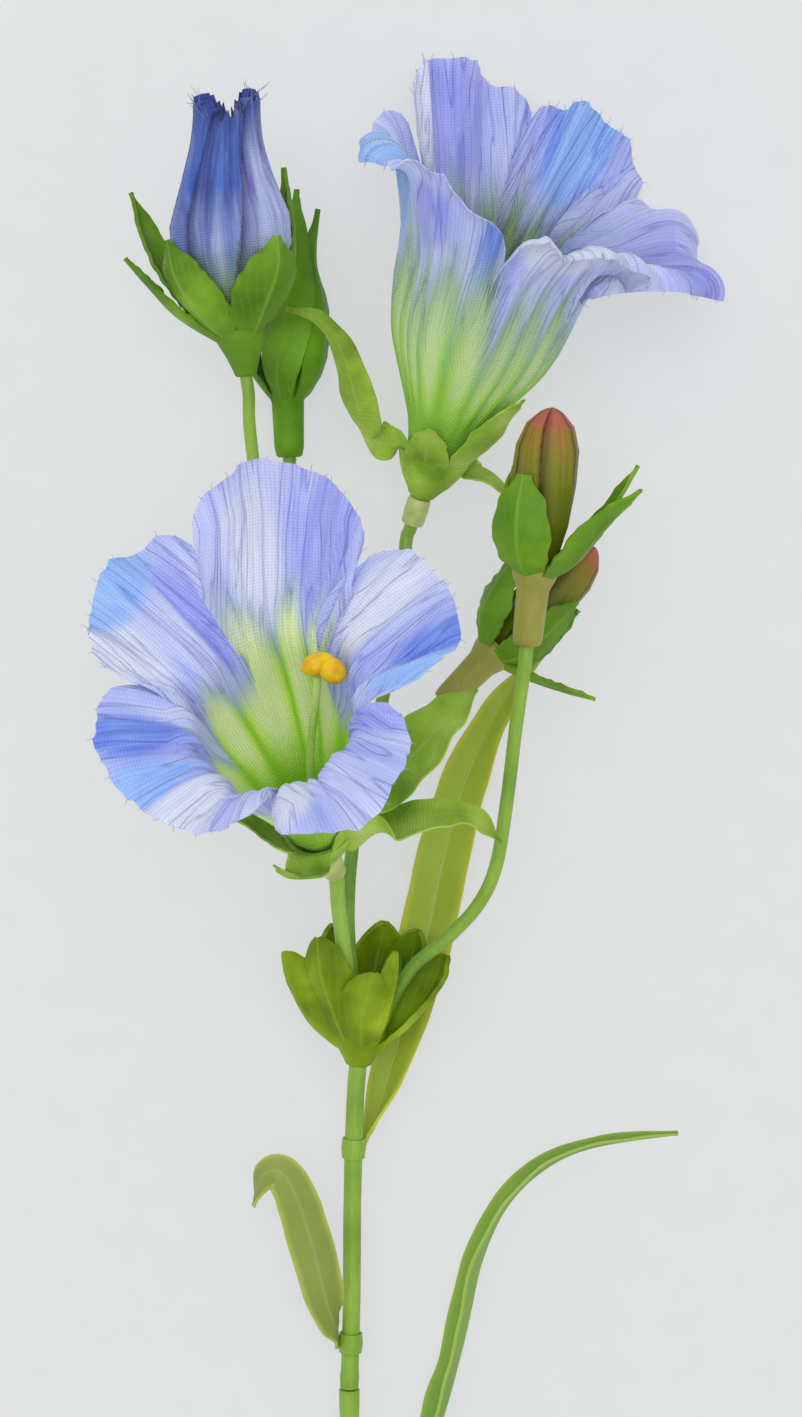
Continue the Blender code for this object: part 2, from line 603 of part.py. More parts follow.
open_bloom(
    "front", FRONT_FOOT, FRONT_AXIS, (0, 1, 0), FRONT_BRANCH_RADIUS,
    (
        ((-28, 21), (31, 24), (84, 16), (190, 9), (272, 4)),
        (
            (38, 57, 58, 1.8, 0.1, 0, 0), (32, 65, 80, 2.6, 0.0, 0, 0), (22, 66, 88, 3.6, 0.05, 0, 0),
            (26, 66, 88, 2.8, -0.25, 0, 0), (31, 66, 90, 1.8, -0.35, 0, 0),
        ),
        22.0, 43.0, 5.0,
    ),
    FRONT_SEPALS,
    [(0, 0, 3.2), (0.3, -0.3, 14), (2.8, -2.8, 29), (7.0, -6.6, 43), (8.2, -7.6, 47.2)],
    (9.0, -8.4, 50.2),
)
UPPER_SEPALS = [
    (
        112, [],
        [(-8.4, 98.6, 19), (-11, 106.2, 22.5), (-13.8, 115.6, 24), (-18.4, 122, 23.5), (-25.2, 124.2, 22)],
        (1.4, 2.8, 5.0, 4.8, 3.6, 2.0, 0.4), [(0.7, 0.1, -0.7), (0.7, 0.3, -0.7), (0.6, 0.5, -0.6)],
    ),
    (236, [(9.6, 14), (12.8, 21), (16.6, 28.5)], [], (1.4, 3.2, 5.2, 5.0, 3.2, 0.6), []),
    (170, [(8.8, 13), (10.4, 17)], [], (1.4, 2.8, 4.4, 4.8, 3.6, 1.0), []),
    (
        -62, [], [(12.6, 91.8, 13.2), (16.4, 90.0, 15.2), (20.0, 86.4, 17.0)],
        (1.4, 2.8, 3.0, 2.2, 1.4, 0.4), [(-0.2, 0.8, 0.6), (0, 0.8, 0.6)],
    ),
    (12, [(9.6, 14), (12.8, 21), (15.8, 27)], [], (1.4, 3.2, 5.2, 5.0, 3.2, 0.6), []),
]
open_bloom(
    "upper", UPPER_FOOT, UPPER_AXIS, (0, 0, -1), BRANCH_RADIUS,
    (
        ((-32, 33), (4, 30), (58, 16), (184, 9), (250, 13)),
        (
            (37, 38, 32, 2.2, 0.0, 0, 0), (41, 37, 34, 2.2, 0.5, 0, 0), (28, 16, 30, 3.4, -0.2, -0.28, 170),
            (25, 22, 140, 3.0, 0.0, 0, 0), (39, 66, 185, 1.6, -0.55, 0, 0),
        ),
        27.0, 47.0, 0.0,
    ),
    UPPER_SEPALS,
    [(0, 0, 3.2), (0.3, 0.2, 14), (1.2, 1.6, 28), (2.2, 3.6, 40), (2.4, 4.0, 42.5)],
    (2.6, 4.4, 45.6),
)

# Blue bud: cloth petals rolled round one another in a moulded calyx.
BLUE_RADII = [
    (9.4, 2.6), (12, 5.8), (18, 10.0), (25, 12.6), (31, 12.6), (38, 10.2), (45, 7.8), (51, 6.2), (52.4, 1.6),
]
bud_body("blue_bud_petals", BLUE_FOOT, BLUE_AXIS, BLUE_RADII, 0.24, -0.55, BUD_BLUE, 40, 11, 11.0, 7.0)
bud_calyx(
    "blue_bud_calyx", BLUE_FOOT, BLUE_AXIS, (0, 0, 1), BRANCH_RADIUS - 0.1 + GAP,
    [(0, 8.8), (2.8, 8.8), (5.2, 9.6), (5.0, 7.4), (3.4, 4.0), (2.4, 1.2), (2.1, 0)],
    [
        (-46, [(3.4, 7.4), (10.0, 14.5), (13.8, 21.5), (14.6, 28.5)], -6, (2.4, 5.8, 6.8, 5.2, 0.7)),
        (34, [(3.4, 7.4), (10.2, 15), (14.6, 20.5), (16.0, 26.5)], 4, (2.4, 5.8, 7.0, 5.8, 1.0)),
        (-122, [(3.4, 7.4), (11.5, 16), (17.4, 27), (20.4, 39)], 6, (2.4, 4.4, 5.0, 3.4, 0.5)),
        (-88, [(3.6, 7.0), (11.5, 13.5), (16.5, 20), (20.8, 26)], 4, (2.2, 3.0, 3.2, 2.2, 0.5)),
        (116, [(3.4, 7.4), (10.2, 15), (13.4, 26), (13.6, 40)], -4, (2.4, 4.4, 4.6, 3.0, 0.5)),
    ],
    STEM_GREEN,
)

# Green bud: still closed, its bracts pressed together over a thick sleeve.
GREEN_RADII = [(8, 2.4), (12, 3.6), (18, 5.0), (26, 5.3), (34, 4.7), (42, 3.0), (48, 1.4), (52, 0.4)]
GREEN_BRACTS = [
    (-30, [(2.0, 10.5), (6.9, 18), (7.4, 28), (5.8, 40), (4.8, 54)], 70, (2.0, 4.6, 5.0, 2.8, 0.5)),
    (62, [(2.0, 10.5), (6.9, 18), (7.8, 30), (6.2, 40), (7.8, 50)], 10, (2.0, 4.8, 5.4, 2.8, 0.5)),
    (-105, [(2.0, 10.5), (6.9, 18), (7.6, 26), (6.8, 36)], 10, (2.0, 4.2, 3.8, 0.6)),
    (150, [(2.0, 10.5), (6.9, 18), (7.4, 28), (6.4, 40)], 0, (2.0, 4.4, 4.0, 0.6)),
]
green_matrix = frame_at(GREEN_FOOT, GREEN_AXIS, (0, 0, 1))
green_hole = BRANCH_RADIUS + GAP
sleeve_profile = [
    (0, 15), (3.0, 15), (3.3, 11), (3.0, 2), (2.6, 0),
    (green_hole, 0), (green_hole, SOCKET_DEPTH), (0, SOCKET_DEPTH),
]
green = bud_body("green_bud", GREEN_FOOT, GREEN_AXIS, GREEN_RADII, 0.16, 0.25, STEM_GREEN, 25, 8)
pieces = [turned("green_bud_sleeve", sleeve_profile, STEM_GREEN, 14, green_matrix, helpers)]
for i, (turn, places, bend, widths) in enumerate(GREEN_BRACTS):
    looks = [inward(green_matrix, turn), inward(green_matrix, turn, 0.6)]
    route = ringed(green_matrix, turn, places, bend)
    pieces.append(blade("green_bract_%d" % i, route, widths, looks, STEM_GREEN, 0.25, 6, 3))
green = join(green, pieces)

# Right bud: a ridged red-brown body in a calyx with a long neck.
RIGHT_RADII = [(15.6, 2.2), (18, 4.4), (24, 6.2), (32, 6.8), (39, 6.6), (43.5, 5.0), (46, 2.4), (47, 0.6)]
bud_body("right_bud_body", RIGHT_FOOT, RIGHT_AXIS, RIGHT_RADII, 0.16, 0.3, BUD_RED, 30, 12)
bud_calyx(
    "right_bud_calyx", RIGHT_FOOT, RIGHT_AXIS, (0, 0, 1), BRANCH_RADIUS + GAP,
    [(0, 15.0), (2.4, 15.0), (4.4, 16.2), (4.4, 13.6), (3.2, 11), (3.0, 2.0), (2.7, 0)],
    [
        (-24, [(2.8, 13.4), (7.6, 18), (9.2, 25), (8.4, 34)], -8, (2.2, 5.2, 6.2, 5.0, 1.4)),
        (54, [(2.8, 13.4), (8.4, 17.6), (14.0, 25), (22.6, 34)], 0, (2.2, 4.4, 4.8, 3.0, 0.4)),
        (108, [(2.8, 13.4), (9.0, 18.4), (13.6, 27), (18.4, 37)], -6, (2.2, 3.6, 3.6, 2.2, 0.4)),
        (-140, [(2.8, 13.4), (7.8, 18), (9.6, 26), (9.4, 34)], 0, (2.2, 4.0, 4.0, 2.6, 0.6)),
    ],
    SEPAL_GREEN,
)

# Back bud: the same moulding, seen behind the right bud.
BACK_RADII = [(15.6, 2.0), (18, 4.0), (24, 5.6), (31, 6.0), (37, 5.6), (41, 4.0), (43, 2.0), (44, 0.6)]
bud_body("back_bud_body", BACK_FOOT, BACK_AXIS, BACK_RADII, 0.16, 0.3, BUD_RED, 30, 10)
bud_calyx(
    "back_bud_calyx", BACK_FOOT, BACK_AXIS, (0, 0, 1), BRANCH_RADIUS + GAP,
    [(0, 15.0), (2.2, 15.0), (4.2, 16.2), (4.2, 13.6), (3.2, 11), (2.8, 2.0), (2.5, 0)],
    [
        (-56, [(2.8, 13.4), (7.8, 18), (11.0, 25), (12.6, 32)], 4, (2.2, 4.8, 5.4, 3.6, 0.6)),
        (38, [(2.8, 13.4), (7.0, 18), (8.4, 26), (8.6, 33)], -4, (2.2, 4.2, 4.6, 3.2, 0.6)),
        (88, [(2.8, 13.4), (8.6, 15.6), (15.0, 18.6), (21.4, 22)], 0, (2.2, 2.8, 2.6, 1.8, 0.4)),
        (138, [(2.8, 13.4), (7.6, 18), (9.4, 26), (9.6, 33)], 0, (2.2, 3.8, 3.8, 2.4, 0.5)),
    ],
    SEPAL_GREEN,
)


def station(route, along_y):
    """The place and direction of a stem's line where it reaches a given y, in mm."""
    line = smooth_route(route, STEM_STEPS)
    for a, b in zip(line, line[1:]):
        if b.y >= along_y * MM:
            return a.lerp(b, (along_y * MM - a.y) / (b.y - a.y)) / MM, (b - a).normalized()
    return line[-1] / MM, (line[-1] - line[-2]).normalized()


def leaf(name, stem_route, stem_radius, foot_y, route, widths, faces, cupping, wave):
    """A long leaf fused with the short sleeve that holds it on its stem."""
    inner = stem_radius + GAP
    outer = inner + SLEEVE_THICKNESS
    rim = outer - 0.2
    profile = [(inner, 4.0), (rim, 4.0), (outer, 3.2), (outer, 0.8), (rim, 0), (inner, 0), (inner, 4.0)]
    foot, axis = station(stem_route, foot_y)
    sleeve = turned(name, profile, LEAF_GREEN, 16, frame_at(foot, axis, (0, 0, 1)))
    long_blade = blade(
        name + "_blade", route, widths, faces, LEAF_GREEN, cupping, 12, 3, LEAF_THICKNESS, wave
    )
    join(sleeve, [long_blade])


leaf(
    "leaf_lower_left", MAIN_ROUTE, MAIN_STEM_RADIUS, -86.5,
    [
        (-14.75, -84.8, 11.6), (-15.4, -81.4, 14.4), (-16.8, -76.8, 18.0), (-19.6, -64.6, 22),
        (-23.0, -53.4, 26), (-26.3, -48.3, 27), (-29.6, -49.8, 25.4), (-31.5, -55.8, 22),
    ],
    (1.4, 3.4, 4.4, 4.6, 4.4, 4.0, 2.8, 0.5),
    [(1, 0, 0.1), (0.3, 0.1, 1), (0.2, 0.1, 1), (0.1, 0.2, 1), (-0.9, 0.4, 0.6)], -0.12, 0.1,
)
leaf(
    "leaf_lower_right", LOWER_ROUTE, LOWER_STEM_RADIUS, -141.0,
    [
        (-9.5, -138.6, 3.2), (-6.2, -129.3, 6.6), (-0.6, -114.5, 11), (4.7, -99.4, 13), (8.9, -83.6, 15),
        (12.7, -67.2, 17), (18.2, -55.6, 18), (27.0, -47.4, 18), (38.1, -43.4, 17), (54.0, -41.9, 14),
    ],
    (1.2, 2.6, 3.4, 3.6, 3.6, 3.2, 2.6, 1.6, 0.4),
    [(-0.9, 0.3, 0.35), (-0.85, 0.5, 0.35), (-0.45, 0.8, 0.5)], 0.35, 0.05,
)
leaf(
    "leaf_back", MAIN_ROUTE, MAIN_STEM_RADIUS, -46.5,
    [
        (-9.9, -44.4, 15.9), (-7.4, -38.8, 12.6), (-2.6, -23.3, 9.6), (2.9, -3.1, 7.4), (6.4, 13.1, 6.4),
        (11.0, 29.4, 5.6), (18.4, 44.7, 4.6), (26.6, 54.7, 3.2),
    ],
    (1.4, 3.6, 5.2, 5.6, 5.4, 4.8, 3.2, 0.5),
    [(-0.7, 0.2, 0.7), (-0.1, 0.2, 1), (-0.1, 0, 1), (-0.1, 0, 1), (-0.2, 0, 1)], 0.16, 0.1,
)

# The table presses flat spots on the pieces that the spray lies on.
table = bpy.data.meshes.new("table_cutter")
slab = bmesh.new()
bmesh.ops.create_cube(slab, size=1.0)
bmesh.ops.scale(slab, vec=(0.4, 0.6, 0.02), verts=slab.verts)
bmesh.ops.translate(slab, vec=(0, 0, -0.01), verts=slab.verts)
slab.to_mesh(table)
slab.free()
table_cutter = bpy.data.objects.new("table_cutter", table)
helpers.objects.link(table_cutter)
table_cutter.hide_render = True
table_cutter.display_type = "WIRE"
for name in ("lower_stem", "upper_corolla", "green_bud"):
    resting = bpy.data.objects[name]
    if resting.type == "CURVE":
        resting = as_mesh(resting)
    flat = resting.modifiers.new("RestingSpot", "BOOLEAN")
    flat.operation = "DIFFERENCE"
    flat.object = table_cutter
    flat.solver = "EXACT"
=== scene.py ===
"""Looks of the gentian spray: an artificial cut stem in woven cloth and moulded plastic, lying on a table.

Lengths are in millimetres and turned into metres by MM. +Y runs up the stem and +Z points at the camera.
"""

import math

import bmesh
import bpy
from mathutils import Matrix, Vector, noise


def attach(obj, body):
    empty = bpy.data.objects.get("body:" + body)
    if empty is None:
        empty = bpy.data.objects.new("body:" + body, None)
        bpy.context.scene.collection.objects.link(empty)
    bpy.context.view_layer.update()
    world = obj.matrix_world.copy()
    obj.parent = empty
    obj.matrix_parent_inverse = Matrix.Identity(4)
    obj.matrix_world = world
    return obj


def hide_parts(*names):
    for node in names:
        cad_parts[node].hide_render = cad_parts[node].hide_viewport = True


MM = 0.001
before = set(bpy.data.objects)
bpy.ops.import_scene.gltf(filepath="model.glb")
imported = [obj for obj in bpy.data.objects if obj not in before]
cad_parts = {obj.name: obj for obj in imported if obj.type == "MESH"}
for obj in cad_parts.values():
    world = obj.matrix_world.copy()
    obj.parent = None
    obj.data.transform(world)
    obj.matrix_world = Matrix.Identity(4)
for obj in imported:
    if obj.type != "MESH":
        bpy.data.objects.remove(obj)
bpy.ops.object.select_all(action="DESELECT")
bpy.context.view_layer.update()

# Table, lights and camera: the spray lies on a pale table under wide soft lamps, and the camera looks
# straight down at it from a metre up, as the photograph does.


def srgb(red, green, blue):
    """A colour given in 0 to 255, as the linear colour that a shader takes."""
    linear = []
    for part in (red, green, blue):
        part /= 255
        linear.append(part / 12.92 if part < 0.04045 else ((part + 0.055) / 1.055) ** 2.4)
    return (*linear, 1.0)


def new_finish(name, roughness, **constants):
    """A material with its Principled shader; constants are sockets such as sheen that never vary."""
    finish = bpy.data.materials.new(name)
    finish.use_nodes = True
    shader = finish.node_tree.nodes["Principled BSDF"]
    shader.inputs["Roughness"].default_value = roughness
    for socket, value in constants.items():
        shader.inputs[socket.replace("_", " ")].default_value = value
    return finish


def add(finish, kind, sockets=None, **settings):
    """Adds a shader node. A socket takes a plain value or another node's output."""
    node = finish.node_tree.nodes.new(kind)
    for setting, value in settings.items():
        setattr(node, setting, value)
    for socket, value in (sockets or {}).items():
        if isinstance(value, bpy.types.NodeSocket):
            finish.node_tree.links.new(value, node.inputs[socket])
        else:
            node.inputs[socket].default_value = value
    return node


BLACK = (0, 0, 0)
WHITE = (255, 255, 255)


def ramp(finish, share, stops):
    """A colour ramp over (position, colour of 0 to 255) stops."""
    node = add(finish, "ShaderNodeValToRGB", {"Fac": share})
    while len(node.color_ramp.elements) < len(stops):
        node.color_ramp.elements.new(0.5)
    for element, (position, colour) in zip(node.color_ramp.elements, stops):
        element.position = position
        element.color = srgb(*colour)
    return node.outputs["Color"]


def rise(finish, share, low, high):
    """A mask that climbs from 0 at `low` to 1 at `high`."""
    return ramp(finish, share, [(low, BLACK), (high, WHITE)])


def fall(finish, share, low, high):
    """A mask that drops from 1 at `low` to 0 at `high`."""
    return ramp(finish, share, [(low, WHITE), (high, BLACK)])


def blend(finish, share, first, second, kind="MIX"):
    """Two colours mixed by a share. A colour is another node's output or a triple of 0 to 255."""
    node = add(finish, "ShaderNodeMix", {}, data_type="RGBA", blend_type=kind)
    for socket, value in ((0, share), (6, first), (7, second)):
        if isinstance(value, bpy.types.NodeSocket):
            finish.node_tree.links.new(value, node.inputs[socket])
        else:
            node.inputs[socket].default_value = srgb(*value) if socket else value
    return node.outputs[2]


def maths(finish, kind, first, second=0.5):
    """One arithmetic node; a kind that takes one number ignores the second."""
    return add(finish, "ShaderNodeMath", {0: first, 1: second}, operation=kind).outputs[0]


def product(finish, first, second):
    """One value times another."""
    return maths(finish, "MULTIPLY", first, second)


def noisy(finish, place, scale, detail):
    """Cloudy noise of 0 to 1 over a piece."""
    node = add(finish, "ShaderNodeTexNoise", {"Vector": place, "Scale": scale, "Detail": detail})
    return node.outputs["Fac"]


def stretched(finish, place, scale):
    """Places scaled along each axis, so that a texture on them is drawn out or pressed together."""
    return add(finish, "ShaderNodeMapping", {"Vector": place, "Scale": scale}).outputs[0]


def marked(finish, name):
    """The value that a mesh carries at each vertex under this name."""
    return add(finish, "ShaderNodeAttribute", attribute_name=name).outputs["Fac"]


def placed(finish, kind="Object"):
    """The places that a material is painted by: the object's own or its UV map."""
    return add(finish, "ShaderNodeTexCoord").outputs[kind]


def bump(finish, height, depth, strength):
    """A bump of a real depth in metres, on the shader's normal."""
    node = add(finish, "ShaderNodeBump", {"Height": height, "Distance": depth, "Strength": strength})
    shader = finish.node_tree.nodes["Principled BSDF"]
    finish.node_tree.links.new(node.outputs["Normal"], shader.inputs["Normal"])


def paint(finish, colour):
    """Gives the material its colour."""
    shader = finish.node_tree.nodes["Principled BSDF"]
    finish.node_tree.links.new(colour, shader.inputs["Base Color"])


TABLE_SIZE = 8.0
TABLE_TOP = -0.0002
bpy.ops.mesh.primitive_plane_add(size=TABLE_SIZE, location=(0, 0, TABLE_TOP))
table = bpy.context.object
table.name = "table"
table_finish = new_finish("TablePaper", 0.9)
table_grain = add(table_finish, "ShaderNodeTexNoise", {"Scale": 900.0, "Detail": 2.0})
paint(table_finish, ramp(table_finish, table_grain.outputs["Fac"], [
    (0.3, (124, 124, 124)), (0.7, (128, 128, 128)),
]))
# Painted light: the paper glows as well as reflecting, which lifts the shadows on it and lights the spray
# from below.
table_glow = table_finish.node_tree.nodes["Principled BSDF"]
table_glow.inputs["Emission Color"].default_value = srgb(251, 254, 255)
table_glow.inputs["Emission Strength"].default_value = 0.54
table.data.materials.append(table_finish)

world = bpy.data.worlds.new("StudioRoom")
world.use_nodes = True
world.node_tree.nodes["Background"].inputs["Color"].default_value = (1.0, 1.0, 1.0, 1.0)
world.node_tree.nodes["Background"].inputs["Strength"].default_value = 0.72
bpy.context.scene.world = world

LAMP_AIM = Vector((0, 0.03, 0.03))
LAMPS = [
    ("key", (-0.75, 0.75, 1.25), (1.3, 1.3), 3.0),
    ("fill", (0.95, -0.35, 1.15), (1.3, 1.3), 1.2),
    ("front", (-0.05, 0.15, 1.5), (0.9, 0.9), 7.0),
]
for name, place, size, power in LAMPS:
    bpy.ops.object.light_add(type="AREA", location=place)
    lamp = bpy.context.object
    lamp.name = name + "_lamp"
    lamp.data.shape = "RECTANGLE"
    lamp.data.size, lamp.data.size_y = size
    lamp.data.energy = power
    lamp.rotation_euler = (LAMP_AIM - Vector(place)).to_track_quat("-Z", "Y").to_euler()

CAMERA_PLACE = (-0.002, 0.044, 1.0)
CAMERA_LENS = 123.85
bpy.ops.object.camera_add(location=CAMERA_PLACE, rotation=(0, 0, 0))
camera = bpy.context.object
camera.data.sensor_width = 36.0
camera.data.lens = CAMERA_LENS
camera.data.clip_start = 0.05
camera.data.clip_end = 20.0
bpy.context.scene.camera = camera
bpy.context.scene.view_settings.view_transform = "Standard"

# Stems: soft polyethylene moulded over wire, smooth, with a faint grain along them and a ring where
# one length is pushed into the next. The cut end is flat.
TABLE_GAP = 0.0002
SMOOTH_ANGLE = math.radians(50)
SWELL_WIDTH = 0.012
STEM_UNEVENNESS = 0.03
STEM_LUMPS = 120


def smooth_line(points, steps):
    """A flowing line through given points in mm, in metres, with `steps` places to each stretch."""
    ends = [Vector(p) * MM for p in points]
    padded = [2 * ends[0] - ends[1], *ends, 2 * ends[-1] - ends[-2]]
    line = []
    for i in range(len(ends) - 1):
        a, b, c, d = padded[i : i + 4]
        for k in range(steps):
            t = k / steps
            square = (2 * a - 5 * b + 4 * c - d) * t**2
            cube = (3 * b - 3 * c + d - a) * t**3
            line.append(0.5 * (2 * b + (c - a) * t + square + cube))
    line.append(ends[-1])
    return line


def from_axis(foot, axis, distances):
    """Points on a head's axis, for the last stretch of its stem."""
    unit = Vector(axis).normalized()
    return [tuple(Vector(foot) + unit * d) for d in distances]


def settle(piece, node, finish=None):
    """Names a finished piece after the solid that it stands for, and lets it ride with the spray."""
    piece.name = node + "_look"
    if finish is not None:
        piece.data.materials.clear()
        piece.data.materials.append(finish)
    bpy.ops.object.select_all(action="DESELECT")
    piece.select_set(True)
    bpy.context.view_layer.objects.active = piece
    bpy.ops.object.shade_smooth_by_angle(angle=SMOOTH_ANGLE)
    bpy.ops.object.select_all(action="DESELECT")
    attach(piece, "root")
    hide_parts(node)


def round_stem(node, route, radius, finish, swells=()):
    """A stem drawn as a bevelled curve; swells are (share of its length, extra radius) rings along it."""
    line = smooth_line(route, 8)
    bpy.ops.curve.primitive_bezier_curve_add()
    curve = bpy.context.object
    spline = curve.data.splines[0]
    spline.bezier_points.add(len(line) - 2)
    for i, (point, place) in enumerate(zip(spline.bezier_points, line)):
        point.co = place
        point.handle_left_type = point.handle_right_type = "AUTO"
        share = i / (len(line) - 1)
        extra = sum(more * math.exp(-(((share - at) / SWELL_WIDTH) ** 2)) for at, more in swells)
        uneven = STEM_UNEVENNESS * noise.noise(place * STEM_LUMPS)
        point.radius = 1.0 + extra / radius + uneven
    curve.data.dimensions = "3D"
    curve.data.resolution_u = 2
    curve.data.bevel_depth = radius * MM
    curve.data.bevel_resolution = 6
    curve.data.use_fill_caps = True
    bpy.ops.object.convert(target="MESH")
    settle(bpy.context.object, node, finish)


def moulded_green(name, deep, plain, bright):
    """Plastic coloured in the mass: uneven green, with a fine grain that runs up the stem."""
    finish = new_finish(name, 0.42, Specular_IOR_Level=0.45)
    place = placed(finish)
    drawn = stretched(finish, place, (1.0, 0.12, 1.0))
    cloud = noisy(finish, place, 55.0, 3.0)
    grain = noisy(finish, drawn, 1400.0, 2.0)
    tone = ramp(finish, cloud, [(0.32, deep), (0.5, plain), (0.7, bright)])
    fine = ramp(finish, grain, [(0.3, (205, 205, 205)), (0.7, WHITE)])
    paint(finish, blend(finish, 0.35, tone, fine, "MULTIPLY"))
    bump(finish, grain, 0.00012, 0.5)
    return finish


stem_green = moulded_green("StemPlastic", (108, 150, 38), (134, 174, 52), (150, 188, 66))
front_green = moulded_green("FrontStemPlastic", (122, 164, 48), (146, 186, 66), (160, 198, 82))

LOWER_ROUTE = [
    (-12.2, -176.5, 2.1), (-12.2, -160, 2.2), (-12.2, -138.3, 3.4), (-12.4, -117.4, 6), (-12.5, -94.3, 9.5),
]
MAIN_ROUTE = [
    (-12.5, -93.95, 9.6), (-12.0, -75.8, 12.6), (-11.8, -55.2, 15.8), (-11.2, -34.8, 19.2),
    (-10.4, -25.2, 20.9),
]
round_stem("lower_stem", LOWER_ROUTE, 2.0, stem_green, swells=[(0.985, 0.25)])
round_stem("main_stem", MAIN_ROUTE, 1.8, stem_green, swells=[(0.02, 0.3), (0.62, 0.12)])

# Branches: the same moulding, thinner. The front one is a younger, brighter green. Each one's foot is
# pushed into the branch cup or the upper fork, and its top into the foot of its flower or bud.
FRONT_FOOT, FRONT_AXIS = (-15.1, 11.4, 32.5), (-0.215, 0.60, 0.77)
UPPER_FOOT, UPPER_AXIS = (0.2, 81.5, 10.5), (0.291, 0.893, 0.342)
BLUE_FOOT, BLUE_AXIS = (-32.7, 109.9, 33.5), (-0.127, 0.988, 0.083)
GREEN_FOOT, GREEN_AXIS = (-24.7, 95.2, 7.4), (-0.03, 0.999, 0.01)
RIGHT_FOOT, RIGHT_AXIS = (22.7, 56.5, 43.0), (0.104, 0.983, 0.149)
BACK_FOOT, BACK_AXIS = (6.5, 45.2, 17.0), (0.70, 0.71, -0.03)
FORK_FOOT, FORK_AXIS = (-11.2, 22.5, 19.2), (0.05, 0.99, 0.02)

BRANCHES = [
    (
        "front_stem", 1.55, front_green, FRONT_FOOT, FRONT_AXIS, [-1.0, 3.8],
        [(-11.7, -21.5, 24.2), (-12.4, -11.4, 26), (-13.6, -2.2, 28), (-14.5, 5.2, 29.6)],
    ),
    (
        "upper_stem", 1.35, stem_green, FORK_FOOT, FORK_AXIS, [-1.5, 3.0],
        [(-10.3, -21.5, 19.2), (-11.6, -11.6, 18.4), (-12.6, -0.6, 18.6), (-12.4, 9.5, 18.8)],
    ),
    (
        "right_bud_stem", 1.35, stem_green, RIGHT_FOOT, RIGHT_AXIS, [-5, -1, 3.8],
        [
            (-6.7, -21.5, 22), (-3.2, -13.4, 24), (0.8, -7.2, 26), (6.8, -2.2, 28), (13.3, 4.9, 30),
            (16.9, 12.9, 32), (19.0, 25.9, 35), (20.6, 40.0, 39.6),
        ],
    ),
    (
        "left_bud_stem", 1.25, stem_green, BLUE_FOOT, BLUE_AXIS, [-4, -1, 3.8],
        [
            (-14.0, 27.5, 20.4), (-15.2, 32.5, 21), (-18.5, 46.5, 22), (-25.2, 67.7, 25), (-30.2, 86.5, 29),
            (-32.0, 99.3, 32),
        ],
    ),
    (
        "green_bud_stem", 1.35, stem_green, GREEN_FOOT, GREEN_AXIS, [-4, -1, 3.8],
        [(-12.3, 27.5, 17.0), (-13.2, 34, 16.2), (-16.0, 57.8, 13), (-20.4, 78.0, 9)],
    ),
    (
        "upper_bloom_stem", 1.35, stem_green, UPPER_FOOT, UPPER_AXIS, [-4, -1, 3.8],
        [(-9.2, 27.5, 18.2), (-8.1, 33, 17.8), (-5.0, 49.8, 14.5), (-2.0, 66.0, 11)],
    ),
    (
        "back_bud_stem", 1.35, stem_green, BACK_FOOT, BACK_AXIS, [-3, -0.5, 3.8],
        [(-7.9, 27.5, 21.6), (-5.2, 32.5, 21.6), (0.5, 39.2, 19.3)],
    ),
]
for node, radius, finish, foot, axis, last_stretch, route in BRANCHES:
    round_stem(node, [*route, *from_axis(foot, axis, last_stretch)], radius, finish)

# Branch cup: one moulding of soft plastic, a small hub ringed with plump spoon-shaped bracts. The upper
# fork is the same hub without bracts. Both are veined in the mould and pushed on to their stems.


def resample(line, count):
    """`count` + 1 places at equal spacing along a line."""
    reach = [0.0]
    for a, b in zip(line, line[1:]):
        reach.append(reach[-1] + (b - a).length)
    places = []
    k = 0
    for i in range(count + 1):
        want = reach[-1] * i / count
        while k < len(line) - 2 and reach[k + 1] < want:
            k += 1
        share = (want - reach[k]) / max(reach[k + 1] - reach[k], 1e-9)
        places.append(line[k].lerp(line[k + 1], min(max(share, 0.0), 1.0)))
    return places


def eased(values, t):
    """A smooth value at t (0 to 1) of a row of values that are evenly spread."""
    place = min(max(t, 0.0), 1.0) * (len(values) - 1)
    k = min(int(place), len(values) - 2)
    f = place - k
    f = f * f * (3 - 2 * f)
    return values[k] + (values[k + 1] - values[k]) * f


def head_matrix(foot, axis, up):
    """The matrix of a head whose own +Z is its axis, and whose own +X leans to `up`."""
    z = Vector(axis).normalized()
    x = (Vector(up) - z * z.dot(Vector(up))).normalized()
    turn = Matrix((x, z.cross(x), z)).transposed().to_4x4()
    return Matrix.Translation(Vector(foot) * MM) @ turn


BLADE_UNEVENNESS = 0.05


